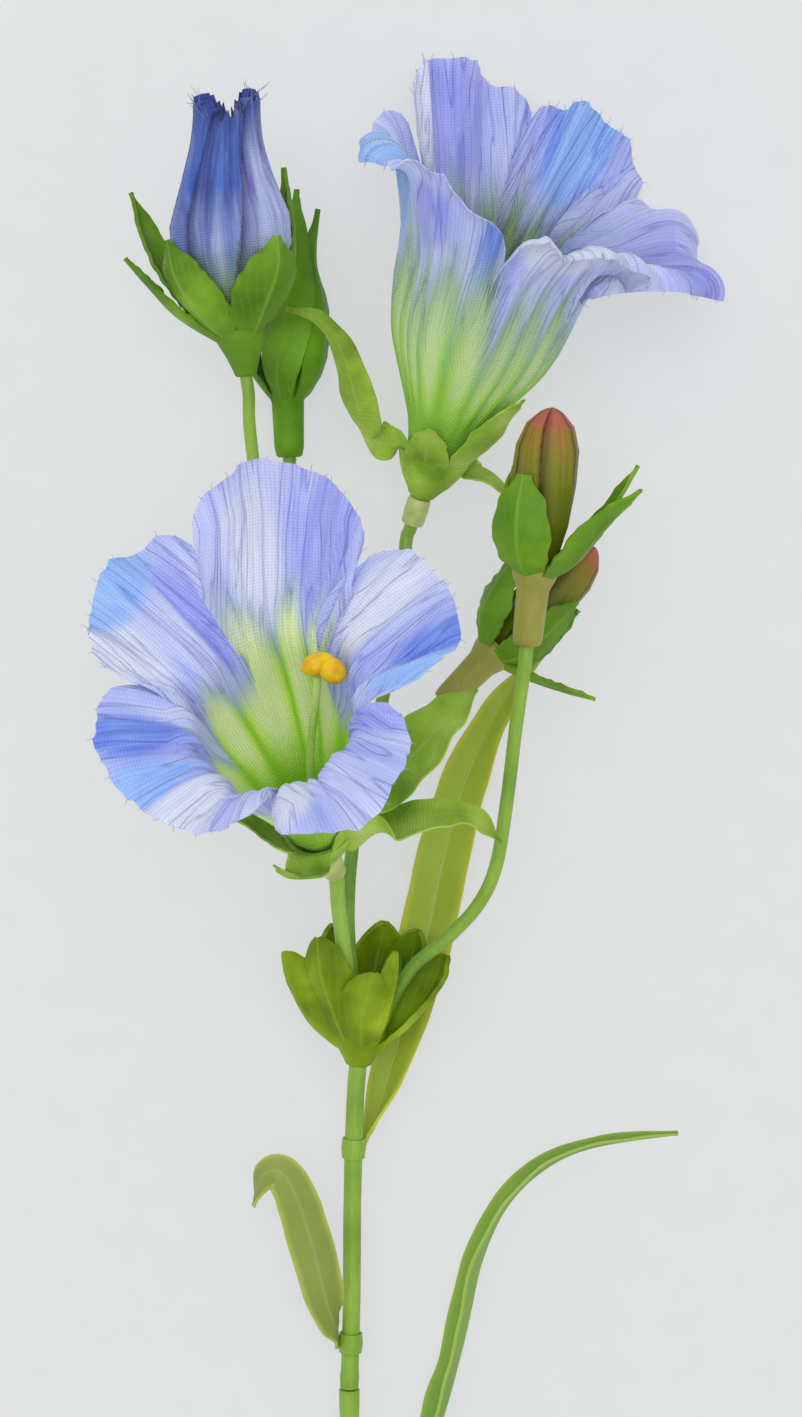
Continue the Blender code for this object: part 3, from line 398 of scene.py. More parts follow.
def leaf_blade(route, widths, faces, cupping, thick, along, across, ripple, crease=0.0, wave=0.0, tip=0.0):
    """A leaf, bract or sepal: a grid laid along a route, cupped, creased down its middle and thickened.

    `along` and `across` are its numbers of faces. `cupping`, `crease` and `wave` are shares of its half
    width, `ripple` is in mm, and `tip` is the share of its length over which its end is rounded. Its UV map
    runs across (0 to 1) and along (0 to 1), so that veins and threads follow it.
    """
    line = resample(smooth_line(route, 12), along)
    bpy.ops.mesh.primitive_grid_add(x_subdivisions=across, y_subdivisions=along, size=2.0)
    made = bpy.context.object
    seed = Vector(route[1]) * 0.37
    for vert in made.data.vertices:
        s = vert.co.x
        row = min(max(round((vert.co.y + 1) / 2 * along), 0), along)
        t = row / along
        ahead = (line[min(row + 1, along)] - line[max(row - 1, 0)]).normalized()
        face = eased([Vector(f) for f in faces], t)
        face = (face - ahead * ahead.dot(face)).normalized()
        side = ahead.cross(face)
        half = eased(widths, t) * MM
        if tip and t > 1 - tip:
            half *= math.sqrt(max(1 - ((t - 1 + tip) / tip) ** 2, 0.01))
        uneven = 1 + BLADE_UNEVENNESS * noise.noise(seed + Vector((s, t * 9, 0)))
        lift = half * cupping * s * s + half * wave * s * s * math.sin(3 * math.pi * t + s)
        lift -= half * crease * (1 - abs(s)) ** 2
        lift += ripple * MM * s * s * noise.noise(seed + Vector((s * 1.5, t * 14, 0)))
        vert.co = line[row] + side * half * s * uneven + face * lift
        vert.co.z = max(vert.co.z, TABLE_GAP + thick * MM / 2)
    solid = made.modifiers.new("Thickness", "SOLIDIFY")
    solid.thickness = thick * MM
    solid.offset = 0.0
    bpy.ops.object.modifier_apply(modifier="Thickness")
    return made


PLAIN_SPOT = (0.32, 0.02)


def turned(profile, sides, matrix):
    """A round moulding: its profile of (radius, height), top to bottom, spun round its axis.

    Its UV map is one spot beside the midrib and clear of the veins.
    """
    bpy.ops.mesh.primitive_plane_add(size=0.001)
    made = bpy.context.object
    bpy.ops.object.mode_set(mode="EDIT")
    bm = bmesh.from_edit_mesh(made.data)
    bm.clear()
    verts = [bm.verts.new((r * MM, 0.0, z * MM)) for r, z in profile]
    for a, b in zip(verts, verts[1:]):
        bm.edges.new((a, b))
    bmesh.update_edit_mesh(made.data)
    bpy.ops.mesh.select_all(action="SELECT")
    bpy.ops.mesh.spin(steps=sides, angle=2 * math.pi, center=(0, 0, 0), axis=(0, 0, 1))
    bpy.ops.mesh.select_all(action="SELECT")
    bpy.ops.mesh.remove_doubles(threshold=0.00001)
    bpy.ops.mesh.normals_make_consistent(inside=False)
    bpy.ops.object.mode_set(mode="OBJECT")
    uv = made.data.uv_layers.active or made.data.uv_layers.new(name="UVMap")
    for loop in uv.data:
        loop.uv = PLAIN_SPOT
    made.data.transform(matrix)
    return made


def one_piece(pieces):
    """Joins mouldings that were made in parts into one object."""
    bpy.ops.object.select_all(action="DESELECT")
    for piece in pieces:
        piece.select_set(True)
    bpy.context.view_layer.objects.active = pieces[0]
    bpy.ops.object.join()
    return bpy.context.object


def rounded(profile, cut=0.35):
    """A profile with each corner taken off, so that the moulding shows no sharp rim."""
    soft = [profile[0]]
    for before, here, after in zip(profile, profile[1:], profile[2:]):
        for other in (before, after):
            span = math.dist(here, other)
            share = min(cut / span, 0.45) if span > 0 else 0.0
            soft.append((here[0] + (other[0] - here[0]) * share, here[1] + (other[1] - here[1]) * share))
    soft.append(profile[-1])
    return soft


def vein_marks(finish, veins, slant, sharpness, faintness, rib_stops):
    """A midrib and slanting veins after a blade's UV map, and how far a place is from the midrib."""
    split = add(finish, "ShaderNodeSeparateXYZ", {"Vector": placed(finish, "UV")})
    from_rib = maths(finish, "ABSOLUTE", maths(finish, "SUBTRACT", split.outputs["X"], 0.5))
    climb = product(finish, from_rib, -slant)
    level = product(finish, maths(finish, "ADD", split.outputs["Y"], climb), veins)
    rows = maths(finish, "ABSOLUTE", maths(finish, "SINE", product(finish, level, math.pi)))
    thin = maths(finish, "POWER", maths(finish, "SUBTRACT", 1.0, rows), sharpness)
    rib = ramp(finish, from_rib, rib_stops)
    return maths(finish, "MAXIMUM", product(finish, thin, faintness), rib), from_rib


def veined_green(name, deep, plain, pale, vein, veins, shine):
    """Bract plastic: cloudy green with a pale midrib and slanting veins."""
    finish = new_finish(name, 0.5, Specular_IOR_Level=shine)
    marks, _ = vein_marks(finish, veins, 1.6, 5.0, 0.45, [(0.0, WHITE), (0.05, BLACK)])
    cloud = noisy(finish, placed(finish), 70.0, 3.0)
    tone = ramp(finish, cloud, [(0.3, deep), (0.5, plain), (0.72, pale)])
    paint(finish, blend(finish, product(finish, marks, 0.6), tone, vein))
    bump(finish, marks, 0.0002, 0.6)
    return finish


cup_green = veined_green(
    "BranchCupPlastic", (74, 104, 2), (112, 142, 10), (162, 186, 38), (142, 168, 38), 4.0, 0.15
)
HUB_PROFILE = [(0, 8.0), (4.4, 8.0), (5.6, 7.2), (5.2, 5.2), (4.0, 2.8), (3.0, 1.2), (2.5, 0), (0, 0)]
CUP_BRACTS = [
    (
        [(-11.6, -25.0, 20.6), (-15.4, -22.4, 22), (-20.0, -17.6, 23.5), (-23.2, -11, 25), (-25.4, -4.8, 24)],
        (2.6, 4.8, 5.8, 5.8, 5.6, 4.8), [(1, 0.3, -0.5), (1, 0.2, -0.7)],
    ),
    (
        [(-11.4, -25.0, 22), (-13.2, -21.4, 25.2), (-15.2, -16.1, 28.5), (-17.5, -9, 31), (-18.5, -1.6, 31)],
        (2.6, 4.1, 5.0, 5.0, 4.8, 4.2), [(0.5, 0.3, -0.9), (0.4, 0.2, -0.9)],
    ),
    (
        [(-10.2, -25.0, 19.4), (-9.4, -21.6, 16.6), (-8.3, -15.5, 14), (-6.9, -7.0, 11.5), (-5.2, 0.8, 13)],
        (2.6, 4.2, 5.2, 5.4, 5.2, 4.6), [(0, 0.3, 1), (0.2, 0.2, 1)],
    ),
    (
        [(-9.2, -25.0, 20), (-6.2, -21.6, 17.6), (-3.8, -16.5, 15.6), (-0.6, -8.9, 13.5), (1.6, -0.8, 14.5)],
        (2.6, 3.6, 4.6, 4.8, 4.6, 4.0), [(-0.6, 0.3, 1), (-0.5, 0.2, 1)],
    ),
    (
        [(-10.2, -25.0, 22.4), (-9.9, -21.8, 27.0), (-9.9, -18.0, 30), (-8.9, -13.4, 33.2), (-7.4, -8.4, 34)],
        (2.6, 3.8, 4.6, 4.6, 4.4, 3.8), [(0, 0.3, -1), (0, 0.3, -1)],
    ),
    (
        [(-9.2, -25.0, 21.8), (-6.6, -21.0, 26), (-5.0, -16.1, 28.6), (-3.6, -10.0, 30.5), (-3.0, -4.6, 30)],
        (2.6, 3.0, 3.4, 3.4, 3.2, 2.8), [(-0.8, 0.3, -0.7), (-0.9, 0.3, -0.5)],
    ),
    (
        [(-9.0, -25.0, 20.8), (-5.2, -22.0, 21.6), (-1.2, -18.6, 22.4), (3.6, -12.4, 22), (7.2, -5.6, 21)],
        (2.6, 3.6, 4.8, 5.0, 4.9, 4.2), [(-0.8, 0.4, 0.5), (-0.6, 0.5, 0.7)],
    ),
    (
        [(-11.2, -25.0, 20), (-13.2, -21.4, 17), (-14.6, -16, 14.6), (-16.0, -7.0, 12.6), (-15.8, 0.4, 14)],
        (2.6, 3.5, 4.2, 4.2, 4.0, 3.4), [(0.6, 0.3, 1), (0.4, 0.3, 1)],
    ),
]
HUB_MATRIX = head_matrix((-10.6, -27.6, 20.4), (0.07, 0.98, 0.17), (0, 0, 1))
cup_parts = [turned(rounded(HUB_PROFILE), 32, HUB_MATRIX)]
for route, widths, faces in CUP_BRACTS:
    cup_parts.append(leaf_blade(route, widths, faces, 0.5, 1.0, 40, 14, 0.5, crease=0.12, tip=0.32))
settle(one_piece(cup_parts), "branch_cup", cup_green)

FORK_PROFILE = [(0, 8.0), (4.8, 8.0), (5.6, 7.2), (5.4, 5.6), (3.8, 3.0), (2.6, 1.2), (2.2, 0), (0, 0)]
fork = turned(rounded(FORK_PROFILE), 32, head_matrix(FORK_FOOT, FORK_AXIS, (0, 0, 1)))
settle(fork, "upper_fork", cup_green)

# Long leaves: thin moulded blades with a midrib, yellowish along their edges, each gripping its stem by a
# short sleeve. The lower left one folds over at its end and the lower right one is folded in a V.


def leaf_plastic(name, deep, plain, edge, vein):
    """Leaf plastic with a yellow edge, a paler midrib and fine veins that run out to the edge."""
    finish = new_finish(name, 0.48, Specular_IOR_Level=0.4)
    rib_stops = [(0.0, WHITE), (0.035, (124, 124, 124)), (0.09, BLACK)]
    marks, from_rib = vein_marks(finish, 26.0, 0.5, 6.0, 0.35, rib_stops)
    cloud = noisy(finish, placed(finish), 45.0, 4.0)
    tone = ramp(finish, cloud, [(0.3, deep), (0.62, plain)])
    tone = blend(finish, rise(finish, from_rib, 0.36, 0.5), tone, edge)
    paint(finish, blend(finish, product(finish, marks, 0.55), tone, vein))
    bump(finish, marks, 0.00022, 0.6)
    return finish


def station(route, along_y):
    """The place and direction of a stem's line where it reaches a given y."""
    line = smooth_line(route, 8)
    for a, b in zip(line, line[1:]):
        if b.y >= along_y * MM:
            return a.lerp(b, (along_y * MM - a.y) / (b.y - a.y)) / MM, (b - a).normalized()
    return line[-1] / MM, (line[-1] - line[-2]).normalized()


def long_leaf(node, finish, stem_route, stem_radius, foot_y, route, widths, faces, cupping, wave, crease):
    """A leaf and the sleeve that holds it on its stem."""
    inner = stem_radius + 0.15
    rim = inner + 0.35
    profile = [(inner, 4.0), (rim, 4.0), (rim + 0.2, 2.0), (rim, 0), (inner, 0), (inner, 4)]
    foot, axis = station(stem_route, foot_y)
    sleeve = turned(profile, 32, head_matrix(foot, axis, (0, 0, 1)))
    blade = leaf_blade(route, widths, faces, cupping, 0.6, 90, 18, 0.8, crease, wave)
    sleeve.data.materials.append(stem_green)
    blade.data.materials.append(finish)
    settle(one_piece([sleeve, blade]), node)


olive_leaf = leaf_plastic(
    "LowerLeafPlastic", (118, 138, 50), (140, 156, 68), (168, 182, 74), (158, 174, 108)
)
blurred_leaf = leaf_plastic(
    "BackLeafPlastic", (138, 160, 26), (158, 182, 50), (184, 190, 40), (186, 200, 112)
)
long_leaf(
    "leaf_lower_left", olive_leaf, MAIN_ROUTE, 1.8, -86.5,
    [
        (-14.75, -84.8, 11.6), (-15.4, -81.4, 14.4), (-16.8, -76.8, 18.0), (-19.6, -64.6, 22),
        (-23.0, -53.4, 26), (-26.3, -48.3, 27), (-29.6, -49.8, 25.4), (-31.5, -55.8, 22),
    ],
    (1.4, 3.4, 4.4, 4.6, 4.4, 4.0, 2.8, 0.5),
    [(1, 0, 0.1), (0.3, 0.1, 1), (0.2, 0.1, 1), (0.1, 0.2, 1), (-0.9, 0.4, 0.6)],
    cupping=-0.12, wave=0.1, crease=-0.1,
)
bright_leaf = leaf_plastic(
    "LowerRightLeafPlastic", (102, 142, 40), (124, 162, 54), (144, 176, 66), (148, 182, 84)
)
long_leaf(
    "leaf_lower_right", bright_leaf, LOWER_ROUTE, 2.05, -141.0,
    [
        (-9.5, -138.6, 3.2), (-6.2, -129.3, 6.6), (-0.6, -114.5, 11), (4.7, -99.4, 13), (8.9, -83.6, 15),
        (12.7, -67.2, 17), (18.2, -55.6, 18), (27.0, -47.4, 18), (38.1, -43.4, 17), (54.0, -41.9, 14),
    ],
    (1.2, 2.6, 3.4, 3.6, 3.6, 3.2, 2.6, 1.6, 0.4),
    [(-0.9, 0.3, 0.35), (-0.85, 0.5, 0.35), (-0.45, 0.8, 0.5)],
    cupping=0.35, wave=0.05, crease=0.5,
)
long_leaf(
    "leaf_back", blurred_leaf, MAIN_ROUTE, 1.8, -46.5,
    [
        (-9.9, -44.4, 15.9), (-7.4, -38.8, 12.6), (-2.6, -23.3, 9.6), (2.9, -3.1, 7.4), (6.4, 13.1, 6.4),
        (11.0, 29.4, 5.6), (18.4, 44.7, 4.6), (26.6, 54.7, 3.2),
    ],
    (1.4, 3.6, 5.2, 5.6, 5.4, 4.8, 3.2, 0.5),
    [(-0.7, 0.2, 0.7), (-0.1, 0.2, 1), (-0.1, 0, 1), (-0.1, 0, 1), (-0.2, 0, 1)],
    cupping=0.16, wave=0.1, crease=0.15,
)

# Ferrules: pale plastic thimbles with a small lip at both ends. One is pushed on to the end of each bloom's
# branch, and the cloth cup is glued into its top.


def clouded(name, roughness, shine, scale, stops):
    """Plain plastic coloured in soft clouds, and the noise that colours it."""
    finish = new_finish(name, roughness, Specular_IOR_Level=shine)
    cloud = noisy(finish, placed(finish), scale, 3.0)
    paint(finish, ramp(finish, cloud, stops))
    return finish, cloud


ferrule_cream, _ = clouded("FerrulePlastic", 0.38, 0.5, 260.0, [
    (0.3, (164, 178, 104)), (0.55, (188, 198, 122)), (0.75, (202, 210, 142)),
])
FERRULE_PROFILE = [
    (0, 5.9), (2.0, 5.9), (2.35, 5.5), (2.45, 3.0), (2.3, 0.4), (2.1, 0), (1.5, 0), (1.5, 3), (0, 3),
]
for node, foot, axis, up in (
    ("front_ferrule", FRONT_FOOT, FRONT_AXIS, (0, 1, 0)),
    ("upper_ferrule", UPPER_FOOT, UPPER_AXIS, (0, 0, -1)),
):
    ferrule = turned(rounded(FERRULE_PROFILE, 0.2), 40, head_matrix(foot, axis, up))
    settle(ferrule, node, ferrule_cream)

# Trumpets: five petals of woven polyester, dyed blue with a green throat, heat-set into sharp pleats and
# glued edge over edge into one tube. Their cut edges fray into short loose threads.
CUP_FOOT = 6.2
TRUMPET_FOOT = 4.4
TRUMPET_HOLE = 1.9
PETAL_COUNT = 5
PETAL_COLUMNS = 44
PETAL_ROWS = 84
BEND_STEP = 0.25
FOOT_SLOPES = [(0, 40), (3.2, 40), (3.2, 26), (7.4, 26), (7.4, 14), (8, 14)]
NECK_SLOPE = 9.0
NECK_LENGTH = 11
TIP_SHARE = 0.5
FREE_LENGTH = 33
FLOP_WIDTH = 0.38
PETAL_LAP = 0.2
LAP_DROP = 9.0
LAP_LENGTH = 14
LAP_LIFT = 0.45
EDGE_TEETH = 0.45
EDGE_UNEVENNESS = 0.8
SEAM_BULGE = 0.6
RIB_DEPTH = 1.6
SLOW_WAVE = 1.5
MIDDLE_DIP = 1.8
EDGE_WAVE = 2.2
PLEAT_DEPTH = 0.8
GREEN_ON_RIBS = 9
GREEN_IN_STREAKS = 6
HALF_PETAL = 19.0
THROAT_HEIGHT = 0.85
DEEP_SHADE_FADE = 28.0
THREAD_PITCH = 0.62
THREAD_THICKNESS = 0.16
CLOTH_THICKNESS = 0.28
FRAYED_THREADS = 90
FRAYED_LENGTH = 2.2
ONE_BAND = 0.314159


def at(stops, place):
    """The value at a place along rows of (place, value), which are joined by straight lines."""
    for (a, low), (b, high) in zip(stops, stops[1:]):
        if place <= b:
            return low if b == a else low + (high - low) * max(place - a, 0.0) / (b - a)
    return stops[-1][1]


def ease(t):
    """A smooth climb from 0 to 1 as t goes from 0 to 1, level outside."""
    t = min(max(t, 0.0), 1.0)
    return t * t * (3 - 2 * t)


def petal_strip(k, matrix, notches, petals, spread, throat_at_top, low_side, ribs, greens, folds, dye):
    """One petal from the trumpet's foot to its tip: a grid bent outward column by column.

    A place on it is phi, -1 to 1 across the petal, and s, in mm along the cloth from the trumpet's foot.
    `folds` are (place across, depth, width) creases, and `dye` are (colour, place across, place along, half
    width, half length) patches. Its UV map is in units of 100 mm across and along the cloth.
    """
    columns, rows = PETAL_COLUMNS, PETAL_ROWS
    tube_rows = rows // 2
    start, start_reach = notches[k]
    end, end_reach = notches[(k + 1) % PETAL_COUNT]
    end += 360 if k == PETAL_COUNT - 1 else 0
    reach_at_tip, _, _, blunt, skew, flop_at, flop_curl = petals[k]
    green_reach, green_fade = greens
    wall = FOOT_SLOPES + [(16, spread), (28, spread), (38, NECK_SLOPE)]
    bpy.ops.mesh.primitive_grid_add(x_subdivisions=columns, y_subdivisions=rows, size=2.0)
    made = bpy.context.object
    by_column = {}
    for vert in made.data.vertices:
        column = round((vert.co.x + 1) / 2 * columns)
        row = round((vert.co.y + 1) / 2 * rows)
        by_column.setdefault(column, {})[row] = vert
    marks = ("throat_green", "throat_rib", "royal_dye", "sky_dye", "pale_dye", "deep_dye")
    for mark in marks:
        made.data.attributes.new(mark, "FLOAT", "POINT")
    shares = {mark: made.data.attributes[mark].data for mark in marks}
    cloth = {}
    for column, verts in by_column.items():
        inner_phi = 2 * column / columns - 1
        edge_phi = inner_phi * (1 + PETAL_LAP)
        seen_phi = min(max(edge_phi, -1.0), 1.0)
        outline = max(1 - abs((seen_phi - skew) / (1 - skew * seen_phi)) ** blunt, 0.0) ** 0.55
        turn = math.radians(start + (end - start) * (seen_phi + 1) / 2)
        throat = throat_at_top - low_side * (0.5 - 0.5 * math.cos(turn))
        base = start_reach + (end_reach - start_reach) * (seen_phi + 1) / 2
        reach = base + (reach_at_tip - (start_reach + end_reach) / 2) * outline
        reach -= LAP_DROP * (abs(edge_phi) - abs(seen_phi)) / PETAL_LAP
        reach += EDGE_TEETH * noise.noise(Vector((inner_phi * 40, k * 5.3, 2.0)))
        reach += EDGE_UNEVENNESS * noise.noise(Vector((inner_phi * 9, k * 2.3, 7.0)))
        radius, height, s, tilt = TRUMPET_HOLE, TRUMPET_FOOT, 0.0, 0.0
        for row in range(rows + 1):
            if row <= tube_rows:
                stop = throat * row / tube_rows
            else:
                stop = throat + reach * (row - tube_rows) / (rows - tube_rows)
            lap = 1 + PETAL_LAP * ease((stop - throat + 4) / LAP_LENGTH)
            phi = inner_phi * lap
            here = k + (phi + 1) / 2 - 0.5
            low = math.floor(here)
            mix = ease(here - low)
            this, following = petals[low % PETAL_COUNT], petals[(low + 1) % PETAL_COUNT]
            lean = this[1] * (1 - mix) + following[1] * mix
            curl = this[2] * (1 - mix) + following[2] * mix
            curl += flop_curl * math.exp(-(((phi - flop_at) / FLOP_WIDTH) ** 2))
            while s < stop - 1e-6:
                step = min(BEND_STEP, stop - s)
                middle = s + step / 2
                if middle < throat:
                    tilt = at(wall, middle)
                else:
                    tip = min(max((middle - throat) / reach - TIP_SHARE, 0.0) / (1 - TIP_SHARE), 1.0)
                    tilt = NECK_SLOPE + (lean - NECK_SLOPE) * ease((middle - throat) / NECK_LENGTH)
                    tilt += (curl - lean) * tip**2
                tilt = math.radians(tilt)
                radius += step * math.sin(tilt)
                height += step * math.cos(tilt)
                s += step
            free = max(s - throat, 0.0) / FREE_LENGTH
            folded = at([(12, 0.0), (42, 1.0)], s)
            tube_share = 1 - ease((s - throat) / 16)
            angle = math.radians(start + (end - start) * (phi + 1) / 2)
            rib = abs(math.cos(ribs / 2 * angle + 0.7 * math.sin(3 * angle) + 0.5 * math.sin(5 * angle + 1)))
            push = SEAM_BULGE * folded * math.cos(2 * math.pi * (phi + 1))
            push += RIB_DEPTH * folded * tube_share * (rib**1.5 - 0.4)
            push += free * (SLOW_WAVE * math.sin(4.5 * phi + 1.7 * k) - MIDDLE_DIP * (1 - abs(phi)))
            push += free**2 * EDGE_WAVE * math.sin(9 * phi + 2.3 * k)
            glued = abs(phi) ** 6 * (1 - ease((s - throat - 2) / 8))
            crease = 0.0
            for place, depth, width in folds:
                crease += depth * ease((s - throat + 14) / 16) * math.exp(-abs((phi - place) / width))
            pleat = noise.noise(Vector((phi * 7.0 + 3.1 * k, s * 0.022, 4.7 + k)))
            crease += PLEAT_DEPTH * ease((s - throat + 8) / 18) * (1 - 3.2 * abs(pleat))
            push += crease * (1 - min(glued, 1.0))
            push += LAP_LIFT * ease((s - throat - 1) / 9) * phi
            r = radius - push * math.cos(tilt)
            z = height + push * math.sin(tilt)
            vert = verts[row]
            vert.co = matrix @ (Vector((r * math.cos(angle), r * math.sin(angle), z)) * MM)
            vert.co.z = max(vert.co.z, TABLE_GAP)
            width_here = math.radians(end - start) * radius / 2
            cloth[vert.index] = (phi * min(width_here, HALF_PETAL) / 100 + k * 0.5, s / 100)
            streak = noise.noise(Vector((math.cos(angle) * 3.2, math.sin(angle) * 3.2, s * 0.012)))
            green_end = throat + green_reach + GREEN_ON_RIBS * (rib - 0.5) + GREEN_IN_STREAKS * streak
            shares["throat_green"][vert.index].value = 1 - ease((s - green_end + green_fade) / green_fade)
            # The rib mark is high on the ribs and low in the valleys between them, where it lays painted
            # shade. It is also low towards the tube's foot, which takes the same darker green.
            shares["throat_rib"][vert.index].value = rib * ease((s - 10) / 20)
            for colour, across, along, half_width, half_length in dye:
                far = ((phi - across) / half_width) ** 2 + ((s - throat - along) / half_length) ** 2
                there = 1 - ease((far**0.5 - 0.6) / 0.5 + 0.8 * streak)
                shares[colour][vert.index].value = max(shares[colour][vert.index].value, there)
    uv = made.data.uv_layers.active.data
    for loop in made.data.loops:
        uv[loop.index].uv = cloth[loop.vertex_index]
    edge = [(by_column[c][rows].co.copy(), by_column[c][rows - 3].co.copy()) for c in sorted(by_column)]
    return made, edge


def loose_threads(edge, count, longest):
    """Short threads that have come loose from a cut edge, a row of (place on it, place further in)."""
    threads = []
    root_radius = THREAD_THICKNESS * MM / 2
    for i in range(count):
        tip, inner = edge[round((i + 0.5) * (len(edge) - 1) / count)]
        wild = Vector((noise.noise(Vector((i, 0.5, k))) for k in (1.5, 4.5, 7.5)))
        way = ((tip - inner).normalized() + 1.6 * wild).normalized()
        if tip.z < longest * MM:
            way.z = abs(way.z)
        length = longest * (0.35 + 0.65 * abs(noise.noise(Vector((i * 0.7, 3.3, 9.1)))) * 1.6) * MM
        bpy.ops.mesh.primitive_cone_add(
            vertices=5, radius1=root_radius, radius2=root_radius * 0.4, depth=length,
            location=tip + way * length * 0.4, rotation=way.to_track_quat("Z", "Y").to_euler(),
        )
        bpy.ops.object.transform_apply()
        threads.append(bpy.context.object)
    return threads


def trumpet(node, matrix, notches, petals, spread, throat, low_side, ribs, greens, creases, dyes, finish):
    """Five petals, glued where the tube is closed and lapping where they are free, as thin cloth.

    `notches` are the (angle, reach) places between petals. `petals` are (reach, lean, curl, bluntness, skew,
    flop place, flop curl), angles in degrees. `spread` is the wall's slope above the foot, `throat` the
    length of the closed tube and `low_side` how much shorter it is on one side. `greens` are (reach past the
    throat, fade), and `creases` and `dyes` are each petal's folds and patches of dye.
    """
    strips = []
    cut_edge = []
    for k in range(PETAL_COUNT):
        strip, edge = petal_strip(
            k, matrix, notches, petals, spread, throat, low_side, ribs, greens[k], creases[k], dyes[k]
        )
        strips.append(strip)
        cut_edge += edge
    made = one_piece(strips)
    bpy.ops.object.mode_set(mode="EDIT")
    bpy.ops.mesh.select_all(action="SELECT")
    bpy.ops.mesh.remove_doubles(threshold=0.00002)
    bpy.ops.mesh.normals_make_consistent(inside=False)
    bpy.ops.object.mode_set(mode="OBJECT")
    solid = made.modifiers.new("Cloth", "SOLIDIFY")
    solid.thickness = CLOTH_THICKNESS * MM
    solid.offset = 0.0
    bpy.ops.object.modifier_apply(modifier="Cloth")
    # Painted shade: cloth that faces the axis low in the tube is marked, fading out above the throat, so that
    # its material darkens it.
    inside = made.data.attributes.new("deep_painted_shade", "FLOAT", "POINT")
    to_head = matrix.inverted()
    for vert in made.data.vertices:
        place = to_head @ vert.co / MM
        way = to_head.to_3x3() @ vert.normal
        faces_axis = way.x * place.x + way.y * place.y < 0
        above = place.z - throat * THROAT_HEIGHT
        inside.data[vert.index].value = 1 - ease(above / DEEP_SHADE_FADE) if faces_axis else 0.0
    threads = loose_threads(cut_edge, FRAYED_THREADS, FRAYED_LENGTH)
    settle(one_piece([made, *threads]), node, finish)


def woven(finish, uv, pitch, depth, folds=0.0):
    """Warp and weft over fine folds as a bump; `pitch` is in mm on a UV map of 100 mm units.

    ONE_BAND is the wave texture's scale at which one band fills one unit.
    """
    scale = ONE_BAND * 100 / pitch
    wave = {"Vector": uv, "Scale": scale, "Distortion": 0.3}
    warp = add(finish, "ShaderNodeTexWave", wave, bands_direction="X")
    weft = add(finish, "ShaderNodeTexWave", wave, bands_direction="Y")
    threads = maths(finish, "ADD", warp.outputs["Fac"], weft.outputs["Fac"])
    bump(finish, maths(finish, "ADD", threads, folds), depth, 0.8)
    return product(finish, threads, 0.5)


def petal_cloth(name, throat_valley_shade, throat_plain, throat_rib, throat_end, inner):
    """Woven cloth dyed lavender, with royal, sky and pale patches and a green throat, all in streaks.

    `inner` is a painted shade that darkens the cloth deep inside the trumpet; thin crease lines and the
    valleys between the throat's ribs are darkened with painted shade too.
    """
    finish = new_finish(
        name, 0.85, Sheen_Weight=0.08, Specular_IOR_Level=0.15, Subsurface_Weight=0.4, Subsurface_Scale=0.003,
        Subsurface_Radius=(0.5, 0.5, 0.5)
    )
    uv = placed(finish, "UV")
    wide = noisy(finish, stretched(finish, uv, (14.0, 1.6, 1.0)), 1.0, 3.0)
    fine = noisy(finish, stretched(finish, uv, (70.0, 5.0, 1.0)), 1.0, 2.0)
    colour = ramp(finish, wide, [
        (0.3, (156, 166, 240)), (0.45, (178, 187, 250)),
        (0.6, (200, 208, 250)), (0.75, (174, 185, 252)),
    ])
    royal = ramp(finish, fine, [(0.3, (86, 112, 214)), (0.5, (108, 136, 230)), (0.7, (130, 160, 242))])
    sky = ramp(finish, fine, [(0.3, (130, 170, 248)), (0.7, (162, 196, 254))])
    pale = ramp(finish, fine, [(0.3, (200, 208, 238)), (0.7, (220, 226, 246))])
    deep = ramp(finish, fine, [(0.3, (148, 154, 236)), (0.7, (170, 176, 248))])
    for dye, dyed in (("deep_dye", deep), ("pale_dye", pale), ("sky_dye", sky), ("royal_dye", royal)):
        colour = blend(finish, marked(finish, dye), colour, dyed)
    # The throat's pale ribs are the cloth's own stripes. Its darker green in the valleys between them is
    # painted shade, and the same darker green lies towards the tube's foot.
    rib = marked(finish, "throat_rib")
    throat = ramp(finish, rib, [(0.1, throat_valley_shade), (0.45, throat_plain), (0.8, throat_rib)])
    green = marked(finish, "throat_green")
    colour = blend(finish, rise(finish, green, 0.0, 0.4), colour, throat_end)
    colour = blend(finish, rise(finish, green, 0.35, 0.95), colour, throat)
    crease = noisy(finish, stretched(finish, uv, (46.0, 2.4, 1.0)), 1.0, 1.0)
    from_line = maths(finish, "ABSOLUTE", maths(finish, "SUBTRACT", crease, 0.5))
    from_line = maths(finish, "ADD", from_line, product(finish, green, 0.02))
    line = rise(finish, from_line, 0.0, 0.025)
    threads = woven(finish, uv, THREAD_PITCH, 0.0001, product(finish, line, 2.5))
    tint = ramp(finish, threads, [(0.1, (214, 217, 236)), (0.6, WHITE)])
    shade = ramp(finish, line, [(0.0, (176, 180, 206)), (1.0, WHITE)])
    colour = blend(finish, 0.6, colour, shade, "MULTIPLY")
    # Painted shade: cloth deep inside the trumpet that faces its axis is darkened by the `inner` tint.
    colour = blend(finish, marked(finish, "deep_painted_shade"), colour, inner, "MULTIPLY")
    paint(finish, blend(finish, 0.6, colour, tint, "MULTIPLY"))
    return finish


front_cloth = petal_cloth(
    "FrontPetalCloth", (150, 212, 40), (204, 242, 108), (228, 248, 164), (178, 194, 206), WHITE
)
# The upper trumpet's cloth is darkened deep inside its tube by a painted shade; the front one's is left as it
# is.
upper_cloth = petal_cloth(
    "UpperPetalCloth", (144, 206, 62), (176, 226, 96), (202, 232, 150), (158, 184, 160), (120, 142, 112)
)

